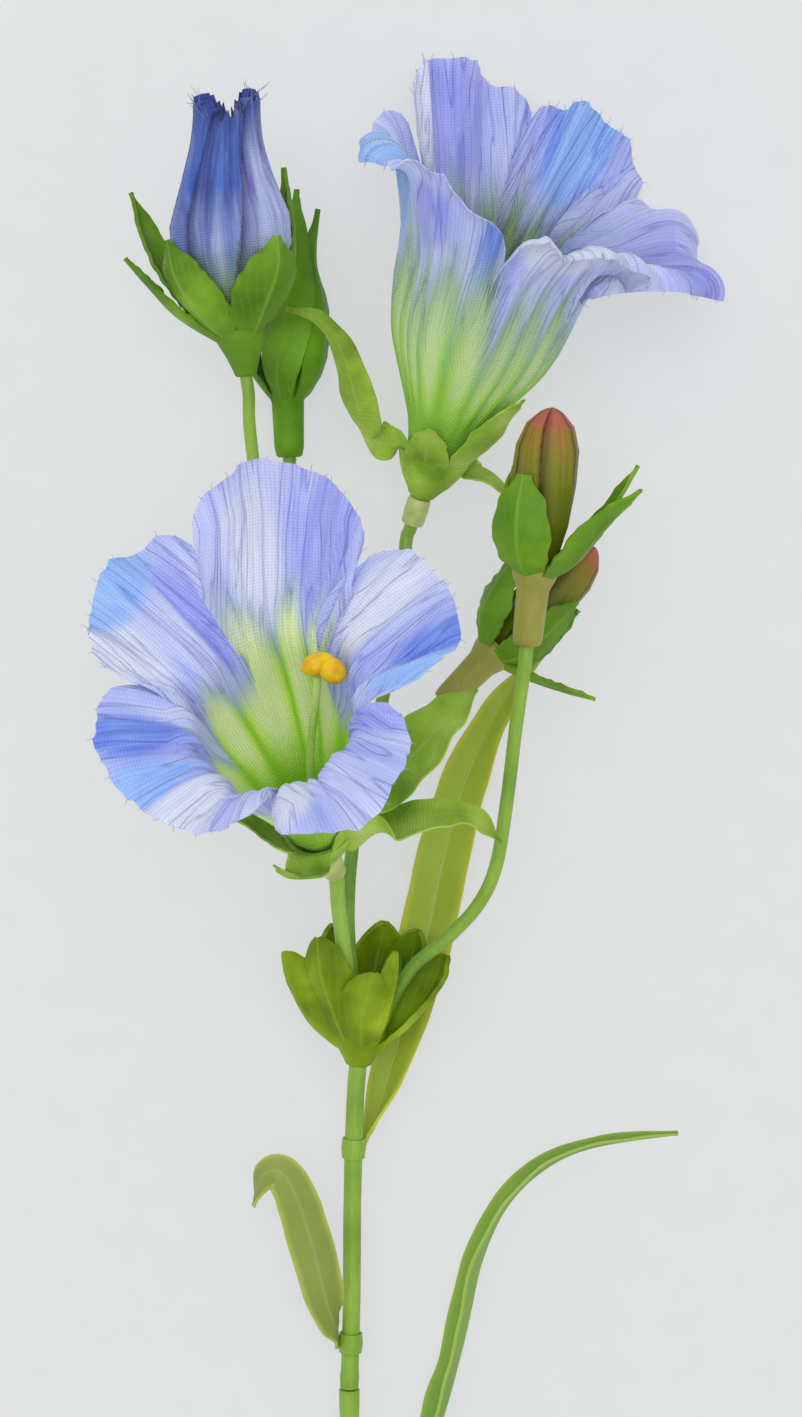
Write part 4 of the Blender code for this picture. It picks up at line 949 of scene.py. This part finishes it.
FRONT_MATRIX = head_matrix(from_axis(FRONT_FOOT, FRONT_AXIS, [CUP_FOOT])[0], FRONT_AXIS, (0, 1, 0))
UPPER_MATRIX = head_matrix(from_axis(UPPER_FOOT, UPPER_AXIS, [CUP_FOOT])[0], UPPER_AXIS, (0, 0, -1))
trumpet(
    "front_corolla", FRONT_MATRIX,
    notches=((-28, 21), (31, 24), (84, 16), (190, 9), (272, 4)),
    petals=(
        (38, 57, 58, 1.8, 0.1, 0, 0), (32, 65, 80, 2.6, 0.0, 0, 0), (22, 66, 88, 3.6, 0.05, 0, 0),
        (26, 66, 88, 2.8, -0.25, 0, 0), (31, 66, 90, 1.8, -0.35, 0, 0),
    ),
    spread=22.0, throat=43.0, low_side=5.0, ribs=11,
    greens=((16, 20), (2, 15), (-5, 11), (-6, 11), (-4, 11)),
    creases=[
        [(-0.08, -2.2, 0.1), (-0.55, 1.2, 0.08), (0.5, 1.2, 0.1)],
        [(-0.3, 1.2, 0.08), (0.2, -1.0, 0.08), (0.6, 1.0, 0.08)],
        [(-0.5, 1.2, 0.06), (-0.2, -1.0, 0.06), (0.1, 1.0, 0.06), (0.5, -0.8, 0.08)],
        [(-0.4, 1.0, 0.06), (-0.1, -1.0, 0.06), (0.35, 0.9, 0.08)],
        [(-0.6, 1.3, 0.06), (-0.35, -1.0, 0.06), (-0.1, 1.1, 0.06), (0.4, -0.8, 0.08)],
    ],
    dyes=[
        [("pale_dye", 0.35, 14, 0.42, 26), ("deep_dye", -0.5, 20, 0.42, 22)],
        [("sky_dye", 0.1, 31, 0.6, 9), ("pale_dye", 0.62, 20, 0.5, 18), ("deep_dye", -0.6, 14, 0.25, 16)],
        [("sky_dye", -0.1, 18, 0.22, 12), ("royal_dye", -0.48, 17, 0.3, 16), ("pale_dye", 0.35, 14, 0.3, 14)],
        [("deep_dye", 0.75, 12, 0.25, 12), ("pale_dye", -0.7, 10, 0.3, 12)],
        [("royal_dye", -0.35, 24, 0.16, 16), ("sky_dye", -0.7, 18, 0.25, 16), ("pale_dye", 0.5, 16, 0.4, 14)],
    ],
    finish=front_cloth,
)
trumpet(
    "upper_corolla", UPPER_MATRIX,
    notches=((-32, 33), (4, 30), (58, 16), (184, 9), (250, 13)),
    petals=(
        (37, 38, 32, 2.2, 0.0, 0, 0), (41, 37, 34, 2.2, 0.5, 0, 0), (28, 16, 30, 3.4, -0.2, -0.28, 170),
        (25, 22, 140, 3.0, 0.0, 0, 0), (39, 66, 185, 1.6, -0.55, 0, 0),
    ),
    spread=27.0, throat=47.0, low_side=0.0, ribs=20,
    greens=((17, 32), (18, 32), (15, 42), (13, 40), (9, 34)),
    creases=[
        [(0.1, 1.2, 0.08), (-0.5, -1.0, 0.08)],
        [(-0.3, 1.2, 0.08), (0.1, -1.0, 0.08), (0.6, 1.2, 0.08)],
        [(0.0, 1.0, 0.08), (-0.5, -0.9, 0.08)],
        [(-0.5, 1.0, 0.08), (0.1, -1.0, 0.08), (0.5, 1.0, 0.08)],
        [(-0.3, 1.2, 0.08), (0.2, -1.0, 0.08), (0.6, 1.2, 0.08)],
    ],
    dyes=[
        [("sky_dye", 0.0, 28, 0.7, 16)],
        [("pale_dye", 0.8, 20, 0.22, 28), ("deep_dye", 0.0, 26, 0.5, 16)],
        [("sky_dye", -0.28, 22, 0.42, 18), ("deep_dye", 0.3, 14, 0.3, 8), ("royal_dye", 0.85, 10, 0.14, 14)],
        [("pale_dye", 0.0, 18, 0.9, 9)],
        [("deep_dye", -0.2, 24, 0.8, 18), ("pale_dye", -0.85, 12, 0.2, 10)],
    ],
    finish=upper_cloth,
)

# Cloth cups under the open flowers: five pointed sepals of the same woven cloth, dyed leaf green, glued
# round the foot of the trumpet, and wavy.
sepal_cloth = new_finish("SepalCloth", 0.85, Sheen_Weight=0.05, Specular_IOR_Level=0.15)
sepal_uv = placed(sepal_cloth, "UV")
sepal_split = add(sepal_cloth, "ShaderNodeSeparateXYZ", {"Vector": sepal_uv})
sepal_rib = maths(sepal_cloth, "ABSOLUTE", maths(sepal_cloth, "SUBTRACT", sepal_split.outputs["X"], 0.5))
sepal_tone = ramp(sepal_cloth, noisy(sepal_cloth, placed(sepal_cloth), 90.0, 4.0), [
    (0.32, (116, 154, 38)), (0.5, (154, 190, 64)), (0.7, (188, 216, 102)),
])
sepal_line = product(sepal_cloth, fall(sepal_cloth, sepal_rib, 0.0, 0.04), 0.4)
paint(sepal_cloth, blend(sepal_cloth, sepal_line, sepal_tone, (176, 196, 112)))
woven(sepal_cloth, stretched(sepal_cloth, sepal_uv, (0.12, 0.4, 1.0)), THREAD_PITCH, 0.0001)


def inward(matrix, turn, lift=0.15):
    """The direction from the angle `turn` on a head to its axis."""
    angle = math.radians(turn)
    return matrix.to_3x3() @ Vector((-math.cos(angle), -math.sin(angle), lift))


def ringed(matrix, turn, places, shift=0.0):
    """The route of a bract on its head: (radius, height) places at the angle `turn`, shifted by `shift`."""
    route = []
    for i, (radius, height) in enumerate(places):
        angle = math.radians(turn + shift * i / (len(places) - 1))
        place = Vector((radius * math.cos(angle), radius * math.sin(angle), height))
        route.append(matrix @ (place * MM) / MM)
    return route


FRONT_SEPALS = [
    (
        -112, [], [(-4.5, 20.2, 43.6), (2.7, 22.6, 45.2), (11.5, 22.9, 44.5), (17.7, 17.6, 42)],
        (1.4, 3.0, 5.0, 4.8, 4.2, 2.6, 0.3), [(-0.2, 0.7, 0.7), (-0.2, 0.7, 0.7), (-0.1, 0.7, 0.7)],
    ),
    (
        -60, [], [(-5.6, 27.6, 44.5), (1.2, 35.5, 49), (7.5, 42.9, 51.5), (12.8, 47.8, 51)],
        (1.4, 2.8, 5.0, 6.2, 6.6, 4.4, 0.5), [(-0.6, 0.3, 0.8), (-0.5, 0.3, 0.9), (-0.3, 0.2, 1)],
    ),
    (126, [(9.6, 14), (12.6, 21), (16.2, 28)], [], (1.4, 3.0, 4.8, 4.6, 3.0, 0.6), []),
    (
        178, [], [(-20.6, 11.6, 53), (-23.8, 11.4, 59), (-26.0, 13.6, 63)],
        (1.4, 3.0, 4.4, 4.0, 2.8, 0.9), [(0.2, 1, -0.2), (0.4, 1, 0.2)],
    ),
    (32, [(9.4, 14), (12.2, 21), (14.8, 28)], [], (1.4, 3.0, 4.8, 4.6, 3.0, 0.6), []),
]
UPPER_SEPALS = [
    (
        112, [],
        [(-8.4, 98.6, 19), (-11, 106.2, 22.5), (-13.8, 115.6, 24), (-18.4, 122, 23.5), (-25.2, 124.2, 22)],
        (1.4, 2.8, 5.0, 4.8, 3.6, 2.0, 0.4), [(0.7, 0.1, -0.7), (0.7, 0.3, -0.7), (0.6, 0.5, -0.6)],
    ),
    (236, [(9.6, 14), (12.8, 21), (16.6, 28.5)], [], (1.4, 3.2, 5.2, 5.0, 3.2, 0.6), []),
    (170, [(8.8, 13), (10.4, 17)], [], (1.4, 2.8, 4.4, 4.8, 3.6, 1.0), []),
    (
        -62, [], [(12.6, 91.8, 13.2), (16.4, 90.0, 15.2), (20.0, 86.4, 17.0)],
        (1.4, 2.8, 3.0, 2.2, 1.4, 0.4), [(-0.2, 0.8, 0.6), (0, 0.8, 0.6)],
    ),
    (12, [(9.6, 14), (12.8, 21), (15.8, 27)], [], (1.4, 3.2, 5.2, 5.0, 3.2, 0.6), []),
]
CLOTH_CUP = [
    (0, 2.6), (2.6, 3.1), (4.4, 5.4), (5.9, 9.0), (7.5, 9.2), (6.4, 6.2), (5.0, 3.6), (3.4, 1.5), (2.5, 0),
    (0, 0),
]
for node, matrix, sepals in (
    ("front_calyx", FRONT_MATRIX, FRONT_SEPALS),
    ("upper_calyx", UPPER_MATRIX, UPPER_SEPALS),
):
    cup_parts = [turned(rounded(CLOTH_CUP, 0.3), 40, matrix)]
    for turn, places, route, widths, faces in sepals:
        root = ringed(matrix, turn, [(2.6, 2.2), (4.4, 4.4), (5.9, 6.6), (7.2, 9.6), *places])
        looks = [inward(matrix, turn)] * 2 + list(faces)
        cup_parts.append(leaf_blade([*root, *route], widths, looks, 0.2, 0.4, 60, 14, 0.4, wave=0.06))
    settle(one_piece(cup_parts), node, sepal_cloth)

# Styles and stigmas: a thin moulded stalk in pale green plastic that stands in the throat, pushed into the
# trumpet's foot. A soft yellow stigma of two lobes is moulded over its end.
style_green = moulded_green("StylePlastic", (172, 208, 88), (192, 224, 112), (208, 232, 138))
stigma_yellow, stigma_cloud = clouded("StigmaPlastic", 0.4, 0.3, 240.0, [
    (0.3, (206, 150, 0)), (0.5, (226, 184, 4)), (0.7, (238, 206, 20)),
])
bump(stigma_yellow, stigma_cloud, 0.0002, 0.5)
STYLES = [
    (
        "front", FRONT_MATRIX, (9.0, -8.4, 50.2),
        [(0, 0, 3.2), (0.3, -0.3, 14), (2.8, -2.8, 29), (7.0, -6.6, 43), (8.2, -7.6, 47.2)],
    ),
    (
        "upper", UPPER_MATRIX, (2.6, 4.4, 45.6),
        [(0, 0, 3.2), (0.3, 0.2, 14), (1.2, 1.6, 28), (2.2, 3.6, 40), (2.4, 4.0, 42.5)],
    ),
]


def stigma_lobe(centre, radii, tilt):
    """One lobe of a stigma: a rounded bead with a soft groove along it."""
    bpy.ops.mesh.primitive_uv_sphere_add(segments=28, ring_count=18, radius=MM)
    made = bpy.context.object
    for vert in made.data.vertices:
        x, y, z = vert.co / MM
        groove = 0.1 * math.exp(-((y / 0.25) ** 2)) * max(z, 0)
        lump = 1 + 0.08 * noise.noise(Vector((x, y, z)) * 1.6 + centre * 300)
        vert.co = Vector((x * radii[0], y * radii[1], (z - groove) * radii[2])) * MM * lump
    made.data.transform(Matrix.Translation(centre) @ Matrix.Rotation(math.radians(tilt), 4, "Z"))
    return made


for prefix, matrix, place, route in STYLES:
    in_head = [matrix @ (Vector(p) * MM) / MM for p in route]
    round_stem(prefix + "_style", in_head, 0.8, style_green)
    top = matrix @ (Vector(place) * MM)
    lobes = [
        stigma_lobe(top, (3.4, 2.2, 2.2), 12),
        stigma_lobe(top + Vector((2.6, -1.2, 0.8)) * MM, (2.9, 2.4, 2.4), -28),
    ]
    settle(one_piece(lobes), prefix + "_stigma", stigma_yellow)

# Blue bud: five cloth petals rolled one over the other in a spiral and still closed, frayed at the top, in
# a moulded calyx whose neck is pushed on to its branch.
EDGE_AT = 0.93
BUD_PLEAT = 0.05
TUFT_FLARE = 0.3
PALE_TURNS = (0, -3)


def closed_bud(foot, axis, radii, depth, twist, crown=0.0, dip=0.0, ragged=0.0, bow=0.0):
    """Petals lapping in a spiral: a globe drawn out along its axis, one edge standing over the next.

    `radii` is a row of (height, radius), `depth` how far an edge stands up, `twist` the turns of the spiral,
    `crown` the height of the two tufts at the top, `dip` the depth between them, `ragged` how torn the top is
    and `bow` how far it leans over.
    """
    bpy.ops.mesh.primitive_uv_sphere_add(segments=200, ring_count=90, radius=1.0)
    made = bpy.context.object
    foot_height, top_height = radii[0][0], radii[-1][0]
    marks = ("up_the_bud", "petal_edge", "pale_petal")
    for mark in marks:
        made.data.attributes.new(mark, "FLOAT", "POINT")
    low, edge_mark, pale_mark = (made.data.attributes[mark] for mark in marks)
    for vert in made.data.vertices:
        x, y, z = vert.co
        t = 1 - math.acos(max(min(z, 1.0), -1.0)) / math.pi
        height = foot_height + (top_height - foot_height) * t
        radius = at(radii, height)
        angle = math.atan2(y, x)
        turns = PETAL_COUNT * angle / (2 * math.pi) + twist * t
        part = turns % 1.0
        pale_mark.data[vert.index].value = 1.0 if math.floor(turns) in PALE_TURNS else 0.0
        edge = part / EDGE_AT if part < EDGE_AT else (1 - part) / (1 - EDGE_AT)
        radius *= 1 - depth * (1 - edge) * min(4 * t, 1.0)
        pleat = abs(noise.noise(Vector((part * 6, t * 1.4, int(part) + 2.2))))
        radius *= 1 - BUD_PLEAT * pleat * min(4 * t, 1.0)
        tuft = t**9 * (0.5 - 0.5 * math.cos(2 * angle)) * min(radius / 5.0, 1.0)
        height += crown * tuft
        radius += crown * TUFT_FLARE * tuft
        height += ragged * t**12 * noise.noise(Vector((angle * 9, 0, 3.3)))
        if abs(z) > 0.9999:
            radius = 0.0
            height -= dip if z > 0 else 0.0
        low.data[vert.index].value = t
        edge_mark.data[vert.index].value = edge
        vert.co = Vector((radius * math.cos(angle), radius * math.sin(angle) + bow * t**4, height)) * MM
    made.data.transform(head_matrix(foot, axis, (0, 0, 1)))
    return made


def bud_petal_cloth():
    """Dark blue cloth, paler low down, greenish at its foot, with one pale lilac petal."""
    finish = new_finish("BudCloth", 0.8, Sheen_Weight=0.25, Specular_IOR_Level=0.25)
    uv = placed(finish, "UV")
    streak = noisy(finish, stretched(finish, uv, (26.0, 2.0, 1.0)), 1.0, 4.0)
    height = marked(finish, "up_the_bud")
    dark = ramp(finish, streak, [(0.35, (40, 52, 118)), (0.5, (54, 74, 150)), (0.65, (78, 110, 188))])
    pale = ramp(finish, streak, [(0.35, (84, 104, 176)), (0.5, (122, 138, 196)), (0.65, (158, 170, 208))])
    lilac = ramp(finish, streak, [(0.35, (118, 122, 190)), (0.46, (160, 172, 218)), (0.65, (186, 198, 232))])
    tone = blend(finish, rise(finish, height, 0.42, 0.66), pale, dark)
    light = product(finish, marked(finish, "pale_petal"), fall(finish, height, 0.72, 0.95))
    tone = blend(finish, light, tone, lilac)
    shade = ramp(finish, marked(finish, "petal_edge"), [(0.0, (110, 116, 160)), (0.35, WHITE)])
    tone = blend(finish, 0.8, tone, shade, "MULTIPLY")
    paint(finish, blend(finish, fall(finish, height, 0.12, 0.42), tone, (124, 150, 96)))
    woven(finish, stretched(finish, uv, (0.62, 0.5, 1.0)), THREAD_PITCH, 0.0001)
    return finish


BLUE_RADII = [
    (9.4, 2.6), (12, 5.8), (18, 10.0), (25, 12.6), (31, 12.6), (38, 10.2), (45, 7.8), (51, 6.2), (52.4, 1.6),
]
RIM_FROM, RIM_TO = 0.965, 0.975
BARE_MIDDLE = 3.0
TUFT_ROOT = 4.0
WHISKERS = 40
WHISKER_LENGTH = 5.5
blue_bud = closed_bud(
    BLUE_FOOT, BLUE_AXIS, BLUE_RADII, 0.24, -0.55, crown=4.4, dip=7.0, ragged=4.0, bow=3.4
)
up_the_bud = blue_bud.data.attributes["up_the_bud"].data
rim = [v.co.copy() for v in blue_bud.data.vertices if RIM_FROM < up_the_bud[v.index].value < RIM_TO]
middle = sum(rim, Vector()) / len(rim)
rim = [place for place in rim if abs(place.x - middle.x) > BARE_MIDDLE * MM]
below_rim = Vector(BLUE_AXIS) * TUFT_ROOT * MM
tufts = [(place, place - below_rim + (middle - place) * 0.3) for place in rim]
whiskers = loose_threads(tufts, WHISKERS, WHISKER_LENGTH)
for whisker in whiskers:
    for mark, share in (("up_the_bud", 0.75), ("petal_edge", 1.0), ("pale_petal", 0.7)):
        dyed = whisker.data.attributes.new(mark, "FLOAT", "POINT")
        dyed.data.foreach_set("value", [share] * len(dyed.data))
settle(one_piece([blue_bud, *whiskers]), "blue_bud_petals", bud_petal_cloth())

calyx_green = veined_green(
    "CalyxPlastic", (72, 114, 6), (96, 140, 18), (132, 176, 42), (134, 172, 60), 5.0, 0.25
)


def ringed_bracts(matrix, bracts, cupping, along, ripple, crease):
    """The bracts round a bud's foot, from rows of (angle, places, shift, widths)."""
    blades = []
    for turn, places, shift, widths in bracts:
        looks = [inward(matrix, turn), inward(matrix, turn, 0.6)]
        route = ringed(matrix, turn, places, shift)
        blades.append(leaf_blade(route, widths, looks, cupping, 0.7, along, 14, ripple, crease))
    return blades


def bud_calyx(node, foot, axis, profile, bracts, finish, neck_finish):
    """A moulded bud foot: a neck, and the bracts that spread from it."""
    matrix = head_matrix(foot, axis, (0, 0, 1))
    neck = turned(rounded(profile), 32, matrix)
    neck.data.materials.append(neck_finish)
    blades = ringed_bracts(matrix, bracts, 0.3, 40, 0.6, 0.12)
    for blade in blades:
        blade.data.materials.append(finish)
    settle(one_piece([neck, *blades]), node)


bud_calyx(
    "blue_bud_calyx", BLUE_FOOT, BLUE_AXIS,
    [
        (0, 8.8), (2.8, 8.8), (5.2, 9.6), (5.0, 7.4), (3.4, 4.0), (2.4, 1.2), (2.1, 0), (1.3, 0), (1.3, 3),
        (0, 3),
    ],
    [
        (-46, [(3.4, 7.4), (10.0, 14.5), (13.8, 21.5), (14.6, 28.5)], -6, (2.4, 5.8, 6.8, 5.2, 0.7)),
        (34, [(3.4, 7.4), (10.2, 15), (14.6, 20.5), (16.0, 26.5)], 4, (2.4, 5.8, 7.0, 5.8, 1.0)),
        (-122, [(3.4, 7.4), (11.5, 16), (17.4, 27), (20.4, 39)], 6, (2.4, 4.4, 5.0, 3.4, 0.5)),
        (-88, [(3.6, 7.0), (11.5, 13.5), (16.5, 20), (20.8, 26)], 4, (2.2, 3.0, 3.2, 2.2, 0.5)),
        (116, [(3.4, 7.4), (10.2, 15), (13.4, 26), (13.6, 40)], -4, (2.4, 4.4, 4.6, 3.0, 0.5)),
    ],
    calyx_green, calyx_green,
)

# Green bud: one plastic moulding, its bracts pressed together over the closed bud, on a thick sleeve that is
# pushed on to its branch. It is the piece that touches the table under the left buds.
bud_green = veined_green(
    "GreenBudPlastic", (62, 104, 4), (86, 134, 12), (118, 168, 30), (114, 156, 40), 3.0, 0.2
)
NECK_SOCKET = [(1.5, 0), (1.5, 3), (0, 3)]
GREEN_RADII = [(8, 2.4), (12, 3.6), (18, 5.0), (26, 5.3), (34, 4.7), (42, 3.0), (48, 1.4), (52, 0.4)]
GREEN_BRACTS = [
    (-30, [(2.0, 10.5), (6.9, 18), (7.4, 28), (5.8, 40), (4.8, 54)], 70, (2.0, 4.6, 5.0, 2.8, 0.5)),
    (62, [(2.0, 10.5), (6.9, 18), (7.8, 30), (6.2, 40), (7.8, 50)], 10, (2.0, 4.8, 5.4, 2.8, 0.5)),
    (-105, [(2.0, 10.5), (6.9, 18), (7.6, 26), (6.8, 36)], 10, (2.0, 4.2, 3.8, 0.6)),
    (150, [(2.0, 10.5), (6.9, 18), (7.4, 28), (6.4, 40)], 0, (2.0, 4.4, 4.0, 0.6)),
]
green_matrix = head_matrix(GREEN_FOOT, GREEN_AXIS, (0, 0, 1))
GREEN_SLEEVE = [(0, 15), (3.0, 15), (3.3, 11), (3.0, 2), (2.6, 0), *NECK_SOCKET]
green_core = closed_bud(GREEN_FOOT, GREEN_AXIS, GREEN_RADII, 0.16, 0.25)
green_sleeve = turned(rounded(GREEN_SLEEVE), 32, green_matrix)
green_blades = ringed_bracts(green_matrix, GREEN_BRACTS, 0.25, 44, 0.5, 0.1)
settle(one_piece([green_core, green_sleeve, *green_blades]), "green_bud", bud_green)

# Red buds: ridged closed buds in plastic, red-brown at the top and olive below, each in a calyx with a
# long brownish neck. The back one is the same moulding, seen behind the other.


def red_bud_plastic():
    """Olive plastic that turns red-brown up the bud, darker in the folds between its petals."""
    finish = new_finish("RedBudPlastic", 0.45, Specular_IOR_Level=0.25)
    cloud = noisy(finish, placed(finish), 160.0, 4.0)
    height = maths(finish, "ADD", marked(finish, "up_the_bud"), product(finish, cloud, 0.25))
    tone = ramp(finish, height, [
        (0.55, (102, 112, 12)), (0.86, (126, 120, 28)), (0.9999, (152, 106, 50)), (1.0, (172, 98, 74)),
    ])
    shade = ramp(finish, marked(finish, "petal_edge"), [(0.0, (110, 90, 70)), (0.4, WHITE)])
    paint(finish, blend(finish, 0.85, tone, shade, "MULTIPLY"))
    bump(finish, cloud, 0.0002, 0.5)
    return finish


bud_red = red_bud_plastic()
bud_sepal = veined_green(
    "BudSepalPlastic", (72, 118, 6), (98, 144, 16), (130, 174, 38), (128, 168, 52), 4.0, 0.25
)
neck_brown = moulded_green("BudNeckPlastic", (140, 138, 48), (156, 152, 62), (166, 168, 84))
RED_BUDS = [
    (
        "right_bud", RIGHT_FOOT, RIGHT_AXIS,
        [(15.6, 2.2), (18, 4.4), (24, 6.2), (32, 6.8), (39, 6.6), (43.5, 5.0), (46, 2.4), (47, 0.6)],
        [(0, 15.0), (2.4, 15.0), (4.4, 16.2), (4.4, 13.6), (3.2, 11), (3.0, 2.0), (2.7, 0), *NECK_SOCKET],
        [
            (-24, [(2.8, 13.4), (7.6, 18), (9.2, 25), (8.4, 34)], -8, (2.2, 5.2, 6.2, 5.0, 1.4)),
            (54, [(2.8, 13.4), (8.4, 17.6), (14.0, 25), (22.6, 34)], 0, (2.2, 4.4, 4.8, 3.0, 0.4)),
            (108, [(2.8, 13.4), (9.0, 18.4), (13.6, 27), (18.4, 37)], -6, (2.2, 3.6, 3.6, 2.2, 0.4)),
            (-140, [(2.8, 13.4), (7.8, 18), (9.6, 26), (9.4, 34)], 0, (2.2, 4.0, 4.0, 2.6, 0.6)),
        ],
    ),
    (
        "back_bud", BACK_FOOT, BACK_AXIS,
        [(15.6, 2.0), (18, 4.0), (24, 5.6), (31, 6.0), (37, 5.6), (41, 4.0), (43, 2.0), (44, 0.6)],
        [(0, 15.0), (2.2, 15.0), (4.2, 16.2), (4.2, 13.6), (3.2, 11), (2.8, 2.0), (2.5, 0), *NECK_SOCKET],
        [
            (-56, [(2.8, 13.4), (7.8, 18), (11.0, 25), (12.6, 32)], 4, (2.2, 4.8, 5.4, 3.6, 0.6)),
            (38, [(2.8, 13.4), (7.0, 18), (8.4, 26), (8.6, 33)], -4, (2.2, 4.2, 4.6, 3.2, 0.6)),
            (88, [(2.8, 13.4), (8.6, 15.6), (15.0, 18.6), (21.4, 22)], 0, (2.2, 2.8, 2.6, 1.8, 0.4)),
            (138, [(2.8, 13.4), (7.6, 18), (9.4, 26), (9.6, 33)], 0, (2.2, 3.8, 3.8, 2.4, 0.5)),
        ],
    ),
]
for bud, foot, axis, radii, neck, bracts in RED_BUDS:
    settle(closed_bud(foot, axis, radii, 0.16, 0.3), bud + "_body", bud_red)
    bud_calyx(bud + "_calyx", foot, axis, neck, bracts, bud_sepal, neck_brown)
